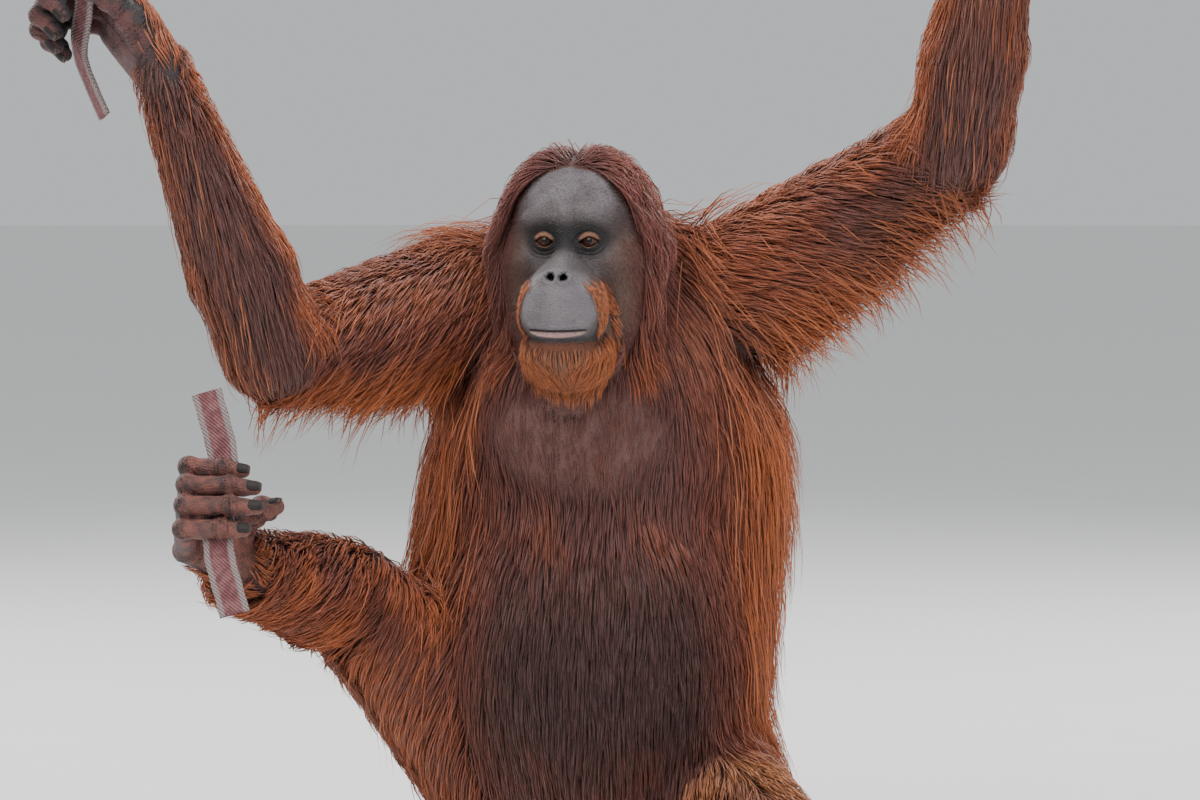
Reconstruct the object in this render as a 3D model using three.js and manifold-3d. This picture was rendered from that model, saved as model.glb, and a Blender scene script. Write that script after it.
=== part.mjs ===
// A life-size orangutan sitting on the floor, both arms raised and one foot lifted, each hand
// and the lifted foot closed round a short length of strap. Millimetres, +Z up, facing -Y.
// The origin lies on the flat under the rump, midway between the hips. "right" and "left" are the
// animal's own sides, so its right is towards -X. Every solid reaches the tips of the coat.
import * as THREE from "three";
import { LoftGeometry } from "three/addons/geometries/LoftGeometry.js";
import { mergeVertices } from "three/addons/utils/BufferGeometryUtils.js";
import Module from "manifold-3d";

const wasm = await Module();
wasm.setup();
const V = (x, y, z) => new THREE.Vector3(x, y, z);

// Driving sizes
const GAP = 0.4; // between two pieces that meet
const UPPER_ARM = 310;
const FOREARM = 300;
const THIGH = 266;
const SHANK = 217;
const PALM = 96; // wrist to knuckles
const SOLE = 98; // ankle to the roots of the toes
const EYE_RADIUS = 12;
const EYE_SPACING = 46;
const HEAD_YAW = THREE.MathUtils.degToRad(-10); // the face looks a little towards its right
const STRAP = { width: 30, thick: 6, length: 230 };
const GRIP = 48; // half of the strap's straight run inside a hand or foot

// Joints. Each limb runs from its root joint by a direction and the bone lengths above.
const SHOULDER = { right: V(-141, 0, 602), left: V(138, 0, 617) };
const HIP = { right: V(-86, -5, 116), left: V(86, -2, 112) };
const UPPER_ARM_WAY = { right: V(-179, -250, -37), left: V(219, -165, 150) };
const FOREARM_WAY = { right: V(-99, -88, 266), left: V(43, -110, 281) };
const THIGH_WAY = { right: V(-160, -100, 196), left: V(103, -238, -60) };
const SHANK_WAY = { right: V(-112, -180, 47), left: V(-200, -84, -22) };
const BETWEEN_EYES = V(-31, -160, 668);

const far = (from, way, length) =>
  from.clone().addScaledVector(way.clone().normalize(), length);
const joints = {};
for (const side of ["right", "left"]) {
  const elbow = far(SHOULDER[side], UPPER_ARM_WAY[side], UPPER_ARM);
  const knee = far(HIP[side], THIGH_WAY[side], THIGH);
  joints[side] = {
    shoulder: SHOULDER[side],
    elbow,
    wrist: far(elbow, FOREARM_WAY[side], FOREARM),
    hip: HIP[side],
    knee,
    ankle: far(knee, SHANK_WAY[side], SHANK),
  };
}

// Which way each hand and foot lies: along the digits, and the way the palm or sole faces.
const HAND_LIE = {
  right: { along: V(-0.5, 0.5, 0.66), facing: V(-0.55, -0.62, -0.55) },
  left: { along: V(0.46, 0.42, 0.76), facing: V(0.5, -0.7, -0.45) },
};
const FOOT_LIE = {
  right: { along: V(-0.46, -0.75, 0.46), facing: V(0.88, -0.42, 0.19) },
  left: { along: V(-0.93, -0.36, 0.02), facing: V(-0.3, 0.92, 0.25) },
};

// Colours of the plain solids
const paint = (color, roughness) =>
  new THREE.MeshStandardMaterial({ color, roughness, metalness: 0 });
const RED_COAT = paint(0x7a3324, 0.85);
const FACE_SKIN = paint(0x5d5659, 0.6);
const BARE_SKIN = paint(0x5a4138, 0.6);
const EYE = paint(0x2a1610, 0.1);
const WEBBING = paint(0x9a6a68, 0.9);

// Solids from three.js geometry
function solid(geometry) {
  const bare = new THREE.BufferGeometry();
  bare.setAttribute("position", geometry.getAttribute("position"));
  bare.setIndex(geometry.index);
  const merged = mergeVertices(bare, 1e-3);
  return new wasm.Manifold(
    new wasm.Mesh({
      numProp: 3,
      vertProperties: merged.attributes.position.array,
      triVerts: new Uint32Array(merged.index.array),
    }),
  );
}

function geometryOf(manifold) {
  const mesh = manifold.getMesh();
  const places = new Float32Array(mesh.numVert * 3);
  for (let i = 0; i < mesh.numVert; i++)
    places.set(mesh.vertProperties.subarray(i * mesh.numProp, i * mesh.numProp + 3), i * 3);
  const geometry = new THREE.BufferGeometry();
  geometry.setAttribute("position", new THREE.BufferAttribute(places, 3));
  geometry.setIndex(new THREE.BufferAttribute(mesh.triVerts, 1));
  geometry.computeVertexNormals();
  return geometry;
}

// One ring of a loft: radii are given towards side, up, the other side and down.
function ring(centre, side, up, radii, sides, scale = 1) {
  const points = [];
  for (let i = 0; i < sides; i++) {
    const a = (i / sides) * 2 * Math.PI;
    const c = Math.cos(a);
    const s = Math.sin(a);
    points.push(
      centre
        .clone()
        .addScaledVector(side, scale * c * radii[c > 0 ? 0 : 2])
        .addScaledVector(up, scale * s * radii[s > 0 ? 1 : 3]),
    );
  }
  return points;
}

// A tapering limb through the given joints. Each row of the profile holds the share of the
// length and the four radii there: side, up, other side, down. Both ends are rounded.
const ROUND_END = [0.4, 0.8];
const SMALL_END = [0.62];
function limb(places, upWay, profile, shape = {}) {
  const { sides = 12, rings = 4, grow = 0, ends = 0.8, shares = ROUND_END } = shape;
  const curve = new THREE.CatmullRomCurve3(places, false, "centripetal");
  const at = (t) => {
    let i = 1;
    while (i < profile.length - 1 && profile[i][0] < t) i++;
    const [a, b] = [profile[i - 1], profile[i]];
    const k = THREE.MathUtils.smoothstep(t, a[0], b[0]);
    return [1, 2, 3, 4].map((j) => THREE.MathUtils.lerp(a[j], b[j], k) + grow);
  };
  const frame = (t) => {
    const along = curve.getTangentAt(t);
    const side = new THREE.Vector3().crossVectors(along, upWay).normalize();
    return { along, side, up: new THREE.Vector3().crossVectors(side, along) };
  };
  const sections = [];
  const cap = (t, sign) => {
    const { along, side, up } = frame(t);
    const radii = at(t);
    const reach = (ends * (radii[0] + radii[1] + radii[2] + radii[3])) / 4;
    const rows = shares.map((share) => {
      const out = Math.sqrt(1 - share * share);
      const centre = curve.getPointAt(t).addScaledVector(along, sign * reach * out);
      return ring(centre, side, up, radii, sides, share);
    });
    return sign < 0 ? rows : rows.reverse();
  };
  sections.push(...cap(0, -1));
  for (let i = 0; i <= rings; i++) {
    const t = i / rings;
    const { side, up } = frame(t);
    sections.push(ring(curve.getPointAt(t), side, up, at(t), sides));
  }
  sections.push(...cap(1, 1));
  return facingOut(sections);
}

function middle(points) {
  return points.reduce((sum, p) => sum.add(p), V(0, 0, 0)).divideScalar(points.length);
}

// Rings must run counterclockwise as seen from the end of the loft.
function facingOut(sections) {
  const [first, second] = sections;
  const start = middle(first);
  const turn = V(0, 0, 0);
  first.forEach((p, i) => {
    const q = first[(i + 1) % first.length];
    turn.add(p.clone().sub(start).cross(q.clone().sub(start)));
  });
  const right = turn.dot(middle(second).sub(start)) > 0;
  const rows = right ? sections : sections.map((points) => [...points].reverse());
  return solid(new LoftGeometry(rows, { capStart: true, capEnd: true }));
}

// Trunk: level rings from the rump to the root of the neck. Each row holds the height, the
// middle of the ring, and its reach to the left, back, right and front.
const TRUNK_ROWS = [
  [0, 0, 25, 112, 92, 112, 84],
  [28, 0, 22, 150, 128, 152, 124],
  [90, 0, 15, 166, 150, 172, 158],
  [170, -2, 10, 168, 160, 182, 180],
  [260, -2, 8, 174, 168, 192, 184],
  [340, 0, 8, 184, 178, 196, 172],
  [400, 0, 8, 192, 184, 190, 160],
  [455, 0, 10, 190, 184, 180, 166],
  [510, 0, 14, 182, 174, 176, 160],
  [570, 0, 20, 172, 158, 168, 140],
  [625, 0, 24, 146, 136, 148, 110],
  [672, -4, 20, 100, 104, 104, 78],
  [706, -8, 8, 62, 74, 64, 56],
];
const TRUNK_SIDES = 18;
const NECK_FROM = 630;
const CHEST_FROM = 385;
const BELLY_FROM = 150;

function trunk(grow) {
  const sections = TRUNK_ROWS.map(([z, x, y, left, back, right, front], i) => {
    const up = i === TRUNK_ROWS.length - 1 ? z + grow : z;
    const radii = [left, back, right, front].map((r) => r + grow);
    return ring(V(x, y, up), V(1, 0, 0), V(0, 1, 0), radii, TRUNK_SIDES);
  });
  return facingOut(sections);
}

const slab = (make, low, high) => (grow) =>
  make(grow)
    .trimByPlane([0, 0, 1], low - grow)
    .trimByPlane([0, 0, -1], -high - grow);

// Head: an icosphere whose points are moved out to where a blend of ellipsoids ends. The
// head's own frame starts between the eyes, x to its left, y backwards.
const HEAD_CORE = V(0, 24, -14);
const HEAD_DETAIL = 6;
const HEAD_BLEND = 12;
const HEAD_LUMPS = [
  // centre, radii
  [V(0, 72, 14), V(89, 76, 88)], // hair over the crown and the sides of the face
  [V(0, 88, -40), V(86, 72, 92)], // hair down the nape and behind the cheeks
  [V(0, 34, -14), V(70, 44, 80)], // cheeks and forehead
  [V(0, -32, -64), V(44, 49, 45)], // muzzle
  [V(0, -14, -104), V(47, 48, 38)], // chin with its beard
  [V(0, 42, -98), V(68, 56, 48)], // throat
];
const EYE_PLACE = V(EYE_SPACING / 2, -1, -1);
const EAR_PLACE = V(83, 62, -4);

const toHead = new THREE.Matrix4()
  .makeTranslation(BETWEEN_EYES)
  .multiply(new THREE.Matrix4().makeRotationZ(HEAD_YAW));

function lumpDistance(p, [centre, radii]) {
  const k0 = p.clone().sub(centre).divide(radii).length();
  const k1 = p.clone().sub(centre).divide(radii).divide(radii).length();
  return k1 < 1e-9 ? -radii.x : (k0 * (k0 - 1)) / k1;
}

function blend(a, b, k) {
  if (a === Infinity) return b;
  const h = Math.max(k - Math.abs(a - b), 0) / k;
  return Math.min(a, b) - (h * h * k) / 4;
}

function headDistance(p) {
  let d = Infinity;
  for (const lump of HEAD_LUMPS) d = blend(d, lumpDistance(p, lump), HEAD_BLEND);
  return d;
}

function headShape(grow) {
  const ball = new THREE.IcosahedronGeometry(1, HEAD_DETAIL);
  const places = ball.getAttribute("position");
  const way = V(0, 0, 0);
  for (let i = 0; i < places.count; i++) {
    way.fromBufferAttribute(places, i).normalize();
    let near = 20;
    let out = 240;
    for (let step = 0; step < 30; step++) {
      const half = (near + out) / 2;
      if (headDistance(HEAD_CORE.clone().addScaledVector(way, half)) < grow) near = half;
      else out = half;
    }
    const p = HEAD_CORE.clone().addScaledVector(way, near);
    places.setXYZ(i, p.x, p.y, p.z);
  }
  return solid(ball);
}

// The snout is parted from the head by an upright plane, and at the mouth by a level one.
const SNOUT_FRONT = -24;
const MOUTH_LEVEL = -93;
const CHIN_BACK = -4;
const headFull = headShape(0);
const headGrown = headShape(GAP);
const pickHead = (grow) => (grow > 0 ? headGrown : headFull);

function inHead(make) {
  return (grow) => make(grow).transform(toHead.elements);
}

function snout(grow) {
  return pickHead(grow)
    .trimByPlane([0, -1, 0], -SNOUT_FRONT - grow)
    .trimByPlane([0, 0, 1], MOUTH_LEVEL - grow);
}
function jaw(grow) {
  return pickHead(grow)
    .trimByPlane([0, -1, 0], -CHIN_BACK - grow)
    .trimByPlane([0, 0, -1], -MOUTH_LEVEL - grow);
}
function skull(grow) {
  return pickHead(grow);
}

function ellipsoid(centre, radii, detail) {
  const ball = new THREE.IcosahedronGeometry(1, detail);
  ball.scale(radii.x, radii.y, radii.z);
  ball.translate(centre.x, centre.y, centre.z);
  return solid(ball);
}

const mirrored = (p, sign) => V(sign * p.x, p.y, p.z);
const eyeball = (sign) => (grow) => {
  const r = EYE_RADIUS + grow;
  return ellipsoid(mirrored(EYE_PLACE, sign), V(r, r, r), 2);
};
const ear = (sign) => (grow) =>
  ellipsoid(mirrored(EAR_PLACE, sign), V(9 + grow, 14 + grow, 19 + grow), 1);

// Arms and legs. "down" radii are longer where the coat hangs in a fringe.
const UP = V(0, 0, 1);
const UPPER_ARM_ROWS = {
  right: [
    [0, 68, 72, 68, 78],
    [0.35, 56, 58, 58, 84],
    [0.75, 46, 46, 48, 62],
    [1, 46, 42, 48, 50],
  ],
  left: [
    [0, 68, 74, 70, 76],
    [0.35, 56, 58, 58, 72],
    [0.75, 46, 46, 48, 60],
    [1, 46, 42, 48, 50],
  ],
};
const FOREARM_ROWS = [
  [0, 48, 50, 48, 50],
  [0.3, 47, 46, 48, 48],
  [0.7, 38, 37, 40, 38],
  [1, 28, 25, 28, 26],
];
const THIGH_ROWS = {
  right: [
    [0, 88, 84, 88, 92],
    [0.5, 70, 66, 72, 78],
    [1, 56, 54, 58, 56],
  ],
  left: [
    [0, 90, 76, 86, 92],
    [0.5, 74, 58, 72, 78],
    [1, 56, 46, 56, 58],
  ],
};
const SHANK_ROWS = [
  [0, 52, 50, 52, 52],
  [0.35, 50, 47, 50, 52],
  [1, 33, 30, 33, 32],
];

const upperArm = (side) => (grow) => {
  const { shoulder, elbow } = joints[side];
  return limb([shoulder, elbow], UP, UPPER_ARM_ROWS[side], { rings: 3, grow });
};
const forearm = (side) => (grow) => {
  const { elbow, wrist } = joints[side];
  return limb([elbow, wrist], V(0, 1, 0), FOREARM_ROWS, { rings: 3, grow });
};
const thigh = (side) => (grow) => {
  const { hip, knee } = joints[side];
  return limb([hip, knee], UP, THIGH_ROWS[side], { rings: 3, grow });
};
const shank = (side) => (grow) => {
  const { knee, ankle } = joints[side];
  return limb([knee, ankle], UP, SHANK_ROWS, { rings: 3, grow });
};

// A hand or foot has its own frame: along the digits, the way it faces, and across to the
// thumb or big toe. Across is mirrored between the two sides.
function lieOf({ along, facing }, side) {
  const f = along.clone().normalize();
  const s = facing.clone().addScaledVector(f, -facing.dot(f)).normalize();
  const across = new THREE.Vector3().crossVectors(f, s);
  if (side === "left") across.negate();
  return { f, s, across };
}

const inLie = (origin, { f, s, across }, a, b, c) =>
  origin.clone().addScaledVector(f, a).addScaledVector(s, b).addScaledVector(across, c);

// A digit bends towards the palm at its root and its two joints.
function digit(root, lie, { bones, bends, radii, splay = 0 }, grow) {
  const places = [root];
  const start = lie.f.clone().addScaledVector(lie.across, splay).normalize();
  let turn = 0;
  bones.forEach((length, i) => {
    turn += THREE.MathUtils.degToRad(bends[i]);
    const way = start
      .clone()
      .multiplyScalar(Math.cos(turn))
      .addScaledVector(lie.s, Math.sin(turn));
    places.push(places.at(-1).clone().addScaledVector(way, length));
  });
  const rows = radii.map(([deep, wide], i) => [i / (radii.length - 1), deep, wide, deep, wide]);
  return limb(places, lie.across, rows, { sides: 6, rings: 6, grow, shares: SMALL_END });
}

const FINGER_NAMES = ["finger_index", "finger_middle", "finger_ring", "finger_little"];
const FINGER_BONES = [
  [56, 38, 24],
  [62, 43, 26],
  [60, 41, 26],
  [50, 34, 22],
];
const FINGER_RADII = [
  [14, 10],
  [12, 10],
  [11, 9.5],
  [8.5, 8],
];
const FINGER_BENDS = { right: [52, 84, 52], left: [52, 84, 52] };
const FINGER_PITCH = 21;
const TOE_NAMES = ["toe_second", "toe_third", "toe_fourth", "toe_fifth"];
const TOE_BONES = [
  [54, 33, 19],
  [60, 41, 24],
  [61, 43, 26],
  [54, 36, 22],
];
const TOE_RADII = [
  [13, 9.4],
  [12, 9.4],
  [11, 9],
  [8.5, 7.5],
];
const TOE_BENDS = { right: [30, 82, 12], left: [12, 34, 30] };
const TOE_PITCH = 19.6;
const ROW_MIDDLE = 1.5; // four digits, counted from 0

const PALM_ROWS = [
  [0, 26, 19, 26, 18],
  [0.5, 40, 19, 40, 18],
  [1, 42, 17, 42, 16],
];
const palm = (side) => (grow) => {
  const lie = lieOf(HAND_LIE[side], side);
  const wrist = joints[side].wrist;
  return limb([wrist, far(wrist, lie.f, PALM)], lie.s, PALM_ROWS, {
    sides: 10,
    rings: 3,
    grow,
    ends: 0.4,
    shares: SMALL_END,
  });
};
const finger = (side, i) => (grow) => {
  const lie = lieOf(HAND_LIE[side], side);
  const root = inLie(joints[side].wrist, lie, PALM, 0, (ROW_MIDDLE - i) * FINGER_PITCH);
  const shape = { bones: FINGER_BONES[i], bends: FINGER_BENDS[side], radii: FINGER_RADII };
  return digit(root, lie, { ...shape, splay: (ROW_MIDDLE - i) * 0.03 }, grow);
};
const thumb = (side) => (grow) => {
  const lie = lieOf(HAND_LIE[side], side);
  const root = inLie(joints[side].wrist, lie, 34, 8, 30);
  const radii = [[16, 15], [12, 12], [11, 10.5], [8, 8]];
  return digit(root, lie, { bones: [30, 26, 18], bends: [26, 14, 22], radii, splay: 0.75 }, grow);
};

const FOOT_ROWS = [
  [0, 30, 30, 30, 26],
  [0.45, 33, 22, 33, 20],
  [1, 36, 16, 36, 15],
];
const HEEL = 34; // the heel stands out this far behind the ankle
const foot = (side) => (grow) => {
  const lie = lieOf(FOOT_LIE[side], side);
  const ankle = joints[side].ankle;
  const places = [inLie(ankle, lie, -HEEL * 0.5, 8, 0), inLie(ankle, lie, SOLE, 4, 0)];
  return limb(places, lie.s, FOOT_ROWS, { sides: 10, rings: 3, grow, ends: 0.6 });
};
const toe = (side, i) => (grow) => {
  const lie = lieOf(FOOT_LIE[side], side);
  const root = inLie(joints[side].ankle, lie, SOLE, 4, (ROW_MIDDLE - i) * TOE_PITCH);
  const shape = { bones: TOE_BONES[i], bends: TOE_BENDS[side], radii: TOE_RADII };
  return digit(root, lie, { ...shape, splay: (ROW_MIDDLE - i) * 0.05 }, grow);
};
const bigToe = (side) => (grow) => {
  const lie = lieOf(FOOT_LIE[side], side);
  const root = inLie(joints[side].ankle, lie, 26, 12, 14);
  const radii = [[16, 16], [13, 13], [12, 12], [9, 9]];
  return digit(root, lie, { bones: [26, 22, 16], bends: [50, 20, 20], radii, splay: 0.9 }, grow);
};

// A short cut length of the strap that each hand and the lifted foot hold. Inside the grip it
// runs across the digits, and outside it turns to the way it hangs. Its place is given along
// the hand or foot and out from it, and "turn" lays its broad side between those two ways.
const STRAP_AT = {
  right_hand: { side: "right", along: 88, out: 40, turn: 0, hang: V(-0.4, 0.1, 0.9) },
  left_hand: { side: "left", along: 88, out: 40, turn: 0, hang: V(0.36, 0.1, 0.93) },
  right_foot: { side: "right", along: 124, out: 57, turn: 115, hang: V(-0.27, 0.1, 0.96) },
};
const strap = (place) => (grow) => {
  const { side, along, out, turn, hang } = STRAP_AT[place];
  const hand = place.endsWith("hand");
  const lie = lieOf((hand ? HAND_LIE : FOOT_LIE)[side], side);
  const centre = inLie(hand ? joints[side].wrist : joints[side].ankle, lie, along, out, 0);
  const angle = THREE.MathUtils.degToRad(turn);
  const broad = inLie(V(0, 0, 0), lie, Math.cos(angle), Math.sin(angle), 0);
  const thick = inLie(V(0, 0, 0), lie, -Math.sin(angle), Math.cos(angle), 0);
  const way = hang.clone().normalize().multiplyScalar(Math.sign(hang.dot(lie.across)));
  const rows = [
    [-1, 1],
    [-1, 0],
    [1, 0],
    [1, 1],
  ].map(([end, outer]) => {
    const p = centre
      .clone()
      .addScaledVector(lie.across, end * GRIP)
      .addScaledVector(way, end * outer * (STRAP.length / 2 - GRIP + grow));
    return ring(p, broad, thick, [1, 1, 1, 1], 4).map((corner) => {
      const [a, b] = [corner.sub(p).dot(broad), corner.dot(thick)];
      return p
        .clone()
        .addScaledVector(broad, (a - b) * (STRAP.width / 2 + grow))
        .addScaledVector(thick, (a + b) * (STRAP.thick / 2 + grow));
    });
  });
  return facingOut(rows);
};

// The pieces, in the order in which each is cut by those before it
const pieces = [];
const piece = (name, make, material) => pieces.push({ name, make, material });

for (const [side, sign] of [["right", -1], ["left", 1]]) {
  piece(`eye_${side}`, inHead(eyeball(sign)), EYE);
  piece(`ear_${side}`, inHead(ear(sign)), FACE_SKIN);
}
piece("muzzle", inHead(snout), FACE_SKIN);
piece("lower_jaw", inHead(jaw), RED_COAT);
piece("head", inHead(skull), RED_COAT);
piece("neck", slab(trunk, NECK_FROM, 720), RED_COAT);
piece("chest", slab(trunk, CHEST_FROM, NECK_FROM), RED_COAT);
piece("belly", slab(trunk, BELLY_FROM, CHEST_FROM), RED_COAT);
piece("pelvis", slab(trunk, -10, BELLY_FROM), RED_COAT);
for (const side of ["right", "left"]) {
  piece(`strap_${side}_hand`, strap(`${side}_hand`), WEBBING);
  piece(`upper_arm_${side}`, upperArm(side), RED_COAT);
  piece(`forearm_${side}`, forearm(side), RED_COAT);
  piece(`palm_${side}`, palm(side), BARE_SKIN);
  piece(`thumb_${side}`, thumb(side), BARE_SKIN);
  FINGER_NAMES.forEach((name, i) => piece(`${name}_${side}`, finger(side, i), BARE_SKIN));
}
piece("strap_right_foot", strap("right_foot"), WEBBING);
for (const side of ["right", "left"]) {
  piece(`thigh_${side}`, thigh(side), RED_COAT);
  piece(`shank_${side}`, shank(side), RED_COAT);
  piece(`foot_${side}`, foot(side), BARE_SKIN);
  piece(`big_toe_${side}`, bigToe(side), BARE_SKIN);
  TOE_NAMES.forEach((name, i) => piece(`${name}_${side}`, toe(side, i), BARE_SKIN));
}

const meets = (a, b) => {
  const [p, q] = [a.boundingBox(), b.boundingBox()];
  return [0, 1, 2].every((i) => p.min[i] <= q.max[i] && q.min[i] <= p.max[i]);
};
const largest = (made) =>
  made.decompose().reduce((a, b) => (a.volume() > b.volume() ? a : b));

const orangutan = new THREE.Group();
const placed = [];
for (const { name, make, material } of pieces) {
  let made = make(0);
  for (const other of placed) {
    if (meets(made, other)) made = made.subtract(other);
  }
  made = largest(made.trimByPlane([0, 0, 1], 0));
  placed.push(make(GAP));
  const mesh = new THREE.Mesh(geometryOf(made), material);
  mesh.name = name;
  orangutan.add(mesh);
}

export default orangutan;
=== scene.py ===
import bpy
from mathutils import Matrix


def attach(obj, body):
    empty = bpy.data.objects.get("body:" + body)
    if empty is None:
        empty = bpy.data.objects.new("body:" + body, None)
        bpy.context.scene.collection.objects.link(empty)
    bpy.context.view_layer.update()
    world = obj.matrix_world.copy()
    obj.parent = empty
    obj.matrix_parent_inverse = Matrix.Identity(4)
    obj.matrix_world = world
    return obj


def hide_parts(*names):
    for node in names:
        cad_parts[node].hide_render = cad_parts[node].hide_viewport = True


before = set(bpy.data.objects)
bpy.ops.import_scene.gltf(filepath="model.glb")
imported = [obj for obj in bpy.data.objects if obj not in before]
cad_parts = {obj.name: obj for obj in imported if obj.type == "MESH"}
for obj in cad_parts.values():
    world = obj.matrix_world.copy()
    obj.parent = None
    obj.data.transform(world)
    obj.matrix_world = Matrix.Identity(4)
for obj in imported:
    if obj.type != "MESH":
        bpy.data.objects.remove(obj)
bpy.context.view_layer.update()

import math

import bmesh
import bpy
import numpy as np
from mathutils import Vector
from mathutils.kdtree import KDTree

MM = 0.001
rng = np.random.default_rng(7)


def V(x, y, z):
    return np.array([x, y, z], float)


def unit(v):
    v = np.asarray(v, float)
    return v / np.maximum(np.linalg.norm(v, axis=-1, keepdims=True), 1e-9)


# Camera
VIEW_AT = V(0, 0, 0.5)
VIEW_FROM = 6.0
VIEW_WIDTH = 1.224  # metres across the picture at VIEW_AT
VIEW_UP = math.radians(3)

camera = bpy.data.objects.new("camera", bpy.data.cameras.new("camera"))
bpy.context.collection.objects.link(camera)
camera.data.sensor_width = 36
camera.data.lens = 36 * VIEW_FROM / VIEW_WIDTH
camera.data.clip_end = 100
away = V(0, -math.cos(VIEW_UP), math.sin(VIEW_UP))
camera.location = VIEW_AT + VIEW_FROM * away
camera.rotation_euler = Vector(-away).to_track_quat("-Z", "Y").to_euler()
bpy.context.scene.camera = camera

# Joints, as in the solids
LENGTHS = {"upper_arm": 310, "forearm": 300, "thigh": 266, "shank": 217}
SHOULDER = {"right": V(-141, 0, 602), "left": V(138, 0, 617)}
HIP = {"right": V(-86, -5, 116), "left": V(86, -2, 112)}
WAYS = {
    "upper_arm": {"right": V(-179, -250, -37), "left": V(219, -165, 150)},
    "forearm": {"right": V(-99, -88, 266), "left": V(43, -110, 281)},
    "thigh": {"right": V(-160, -100, 196), "left": V(103, -238, -60)},
    "shank": {"right": V(-112, -180, 47), "left": V(-200, -84, -22)},
}
HAND_LIE = {
    "right": (V(-0.5, 0.5, 0.66), V(-0.55, -0.62, -0.55)),
    "left": (V(0.46, 0.42, 0.76), V(0.5, -0.7, -0.45)),
}
FOOT_LIE = {
    "right": (V(-0.46, -0.75, 0.46), V(0.88, -0.42, 0.19)),
    "left": (V(-0.93, -0.36, 0.02), V(-0.3, 0.92, 0.25)),
}
EYES_AT = V(-31, -160, 668) * MM
HEAD_YAW = math.radians(-10)
SIDES = ("right", "left")

joint = {}
for side in SIDES:
    elbow = SHOULDER[side] + LENGTHS["upper_arm"] * unit(WAYS["upper_arm"][side])
    knee = HIP[side] + LENGTHS["thigh"] * unit(WAYS["thigh"][side])
    joint[side] = {
        "shoulder": SHOULDER[side] * MM,
        "elbow": elbow * MM,
        "wrist": (elbow + LENGTHS["forearm"] * unit(WAYS["forearm"][side])) * MM,
        "hip": HIP[side] * MM,
        "knee": knee * MM,
        "ankle": (knee + LENGTHS["shank"] * unit(WAYS["shank"][side])) * MM,
    }

BONE_ENDS = {
    "upper_arm": ("shoulder", "elbow"),
    "forearm": ("elbow", "wrist"),
    "thigh": ("hip", "knee"),
    "shank": ("knee", "ankle"),
}

HEAD_AXES = np.array([
    [math.cos(HEAD_YAW), math.sin(HEAD_YAW), 0],
    [-math.sin(HEAD_YAW), math.cos(HEAD_YAW), 0],
    [0, 0, 1],
])  # rows are the head's left, back and up


def from_head(p):
    return EYES_AT + np.asarray(p, float) @ HEAD_AXES


def to_head(p):
    return (np.asarray(p) - EYES_AT) @ HEAD_AXES.T


class Lie:
    """The frame of a hand or foot: along the digits, out of the palm, across to the thumb."""

    def __init__(self, origin, along, facing, side):
        self.origin = origin
        self.f = unit(along)
        self.s = unit(facing - (facing @ self.f) * self.f)
        self.across = np.cross(self.f, self.s) * (1 if side == "right" else -1)

    def at(self, a, b, c):
        return self.origin + (a * self.f + b * self.s + c * self.across) * MM


hand = {s: Lie(joint[s]["wrist"], *HAND_LIE[s], s) for s in SIDES}
foot = {s: Lie(joint[s]["ankle"], *FOOT_LIE[s], s) for s in SIDES}
paws = {"hand": hand, "foot": foot}

FINGER_BONES = [(56, 38, 24), (62, 43, 26), (60, 41, 26), (50, 34, 22)]
TOE_BONES = [(54, 33, 19), (60, 41, 24), (61, 43, 26), (54, 36, 22)]
PALM, SOLE, FINGER_PITCH, TOE_PITCH = 96, 98, 21, 19.6
TOE_BENDS = {"right": (30, 82, 12), "left": (12, 34, 30)}


def digit(lie, root, bones, bends, splay):
    """Places of the digit's joints, and the way out of its back at each bone."""
    start = unit(lie.f + splay * lie.across)
    places, backs, ways, turn = [root], [], [], 0.0
    for length, bend in zip(bones, bends):
        turn += math.radians(bend)
        way = math.cos(turn) * start + math.sin(turn) * lie.s
        places.append(places[-1] + length * MM * way)
        ways.append(way)
        backs.append(math.sin(turn) * start - math.cos(turn) * lie.s)
    return places, backs, ways


digits = []  # name, places, backs, ways, radii in mm, part
for side in SIDES:
    for i in range(4):
        lie, spread = hand[side], 1.5 - i
        root = lie.at(PALM, 0, spread * FINGER_PITCH)
        shape = digit(lie, root, FINGER_BONES[i], (52, 84, 52), spread * 0.03)
        digits.append((f"finger{i}_{side}", *shape, (10.4, 9.8, 9.2, 7.4), f"hand_{side}"))
        lie = foot[side]
        root = lie.at(SOLE, 4, spread * TOE_PITCH)
        shape = digit(lie, root, TOE_BONES[i], TOE_BENDS[side], spread * 0.05)
        digits.append((f"toe{i}_{side}", *shape, (9.8, 9.3, 8.8, 7.0), f"foot_{side}"))
    lie = hand[side]
    shape = digit(lie, lie.at(34, 8, 30), (30, 26, 18), (26, 14, 22), 0.75)
    digits.append((f"thumb_{side}", *shape, (14.5, 11.5, 10.2, 7.5), f"hand_{side}"))
    lie = foot[side]
    shape = digit(lie, lie.at(26, 12, 14), (26, 22, 16), (50, 20, 20), 0.9)
    digits.append((f"hallux_{side}", *shape, (15, 12.4, 11.2, 8.2), f"foot_{side}"))


# The skin as a distance field.
# Each lump gives a distance at points x, y, z, is blended with the rest over its own width,
# and belongs to a part of the body.
class Lump:
    def __init__(self, part, blend, low, high, distance):
        self.part, self.blend, self.distance = part, blend, distance
        self.low, self.high = np.asarray(low), np.asarray(high)


lumps = []


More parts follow.
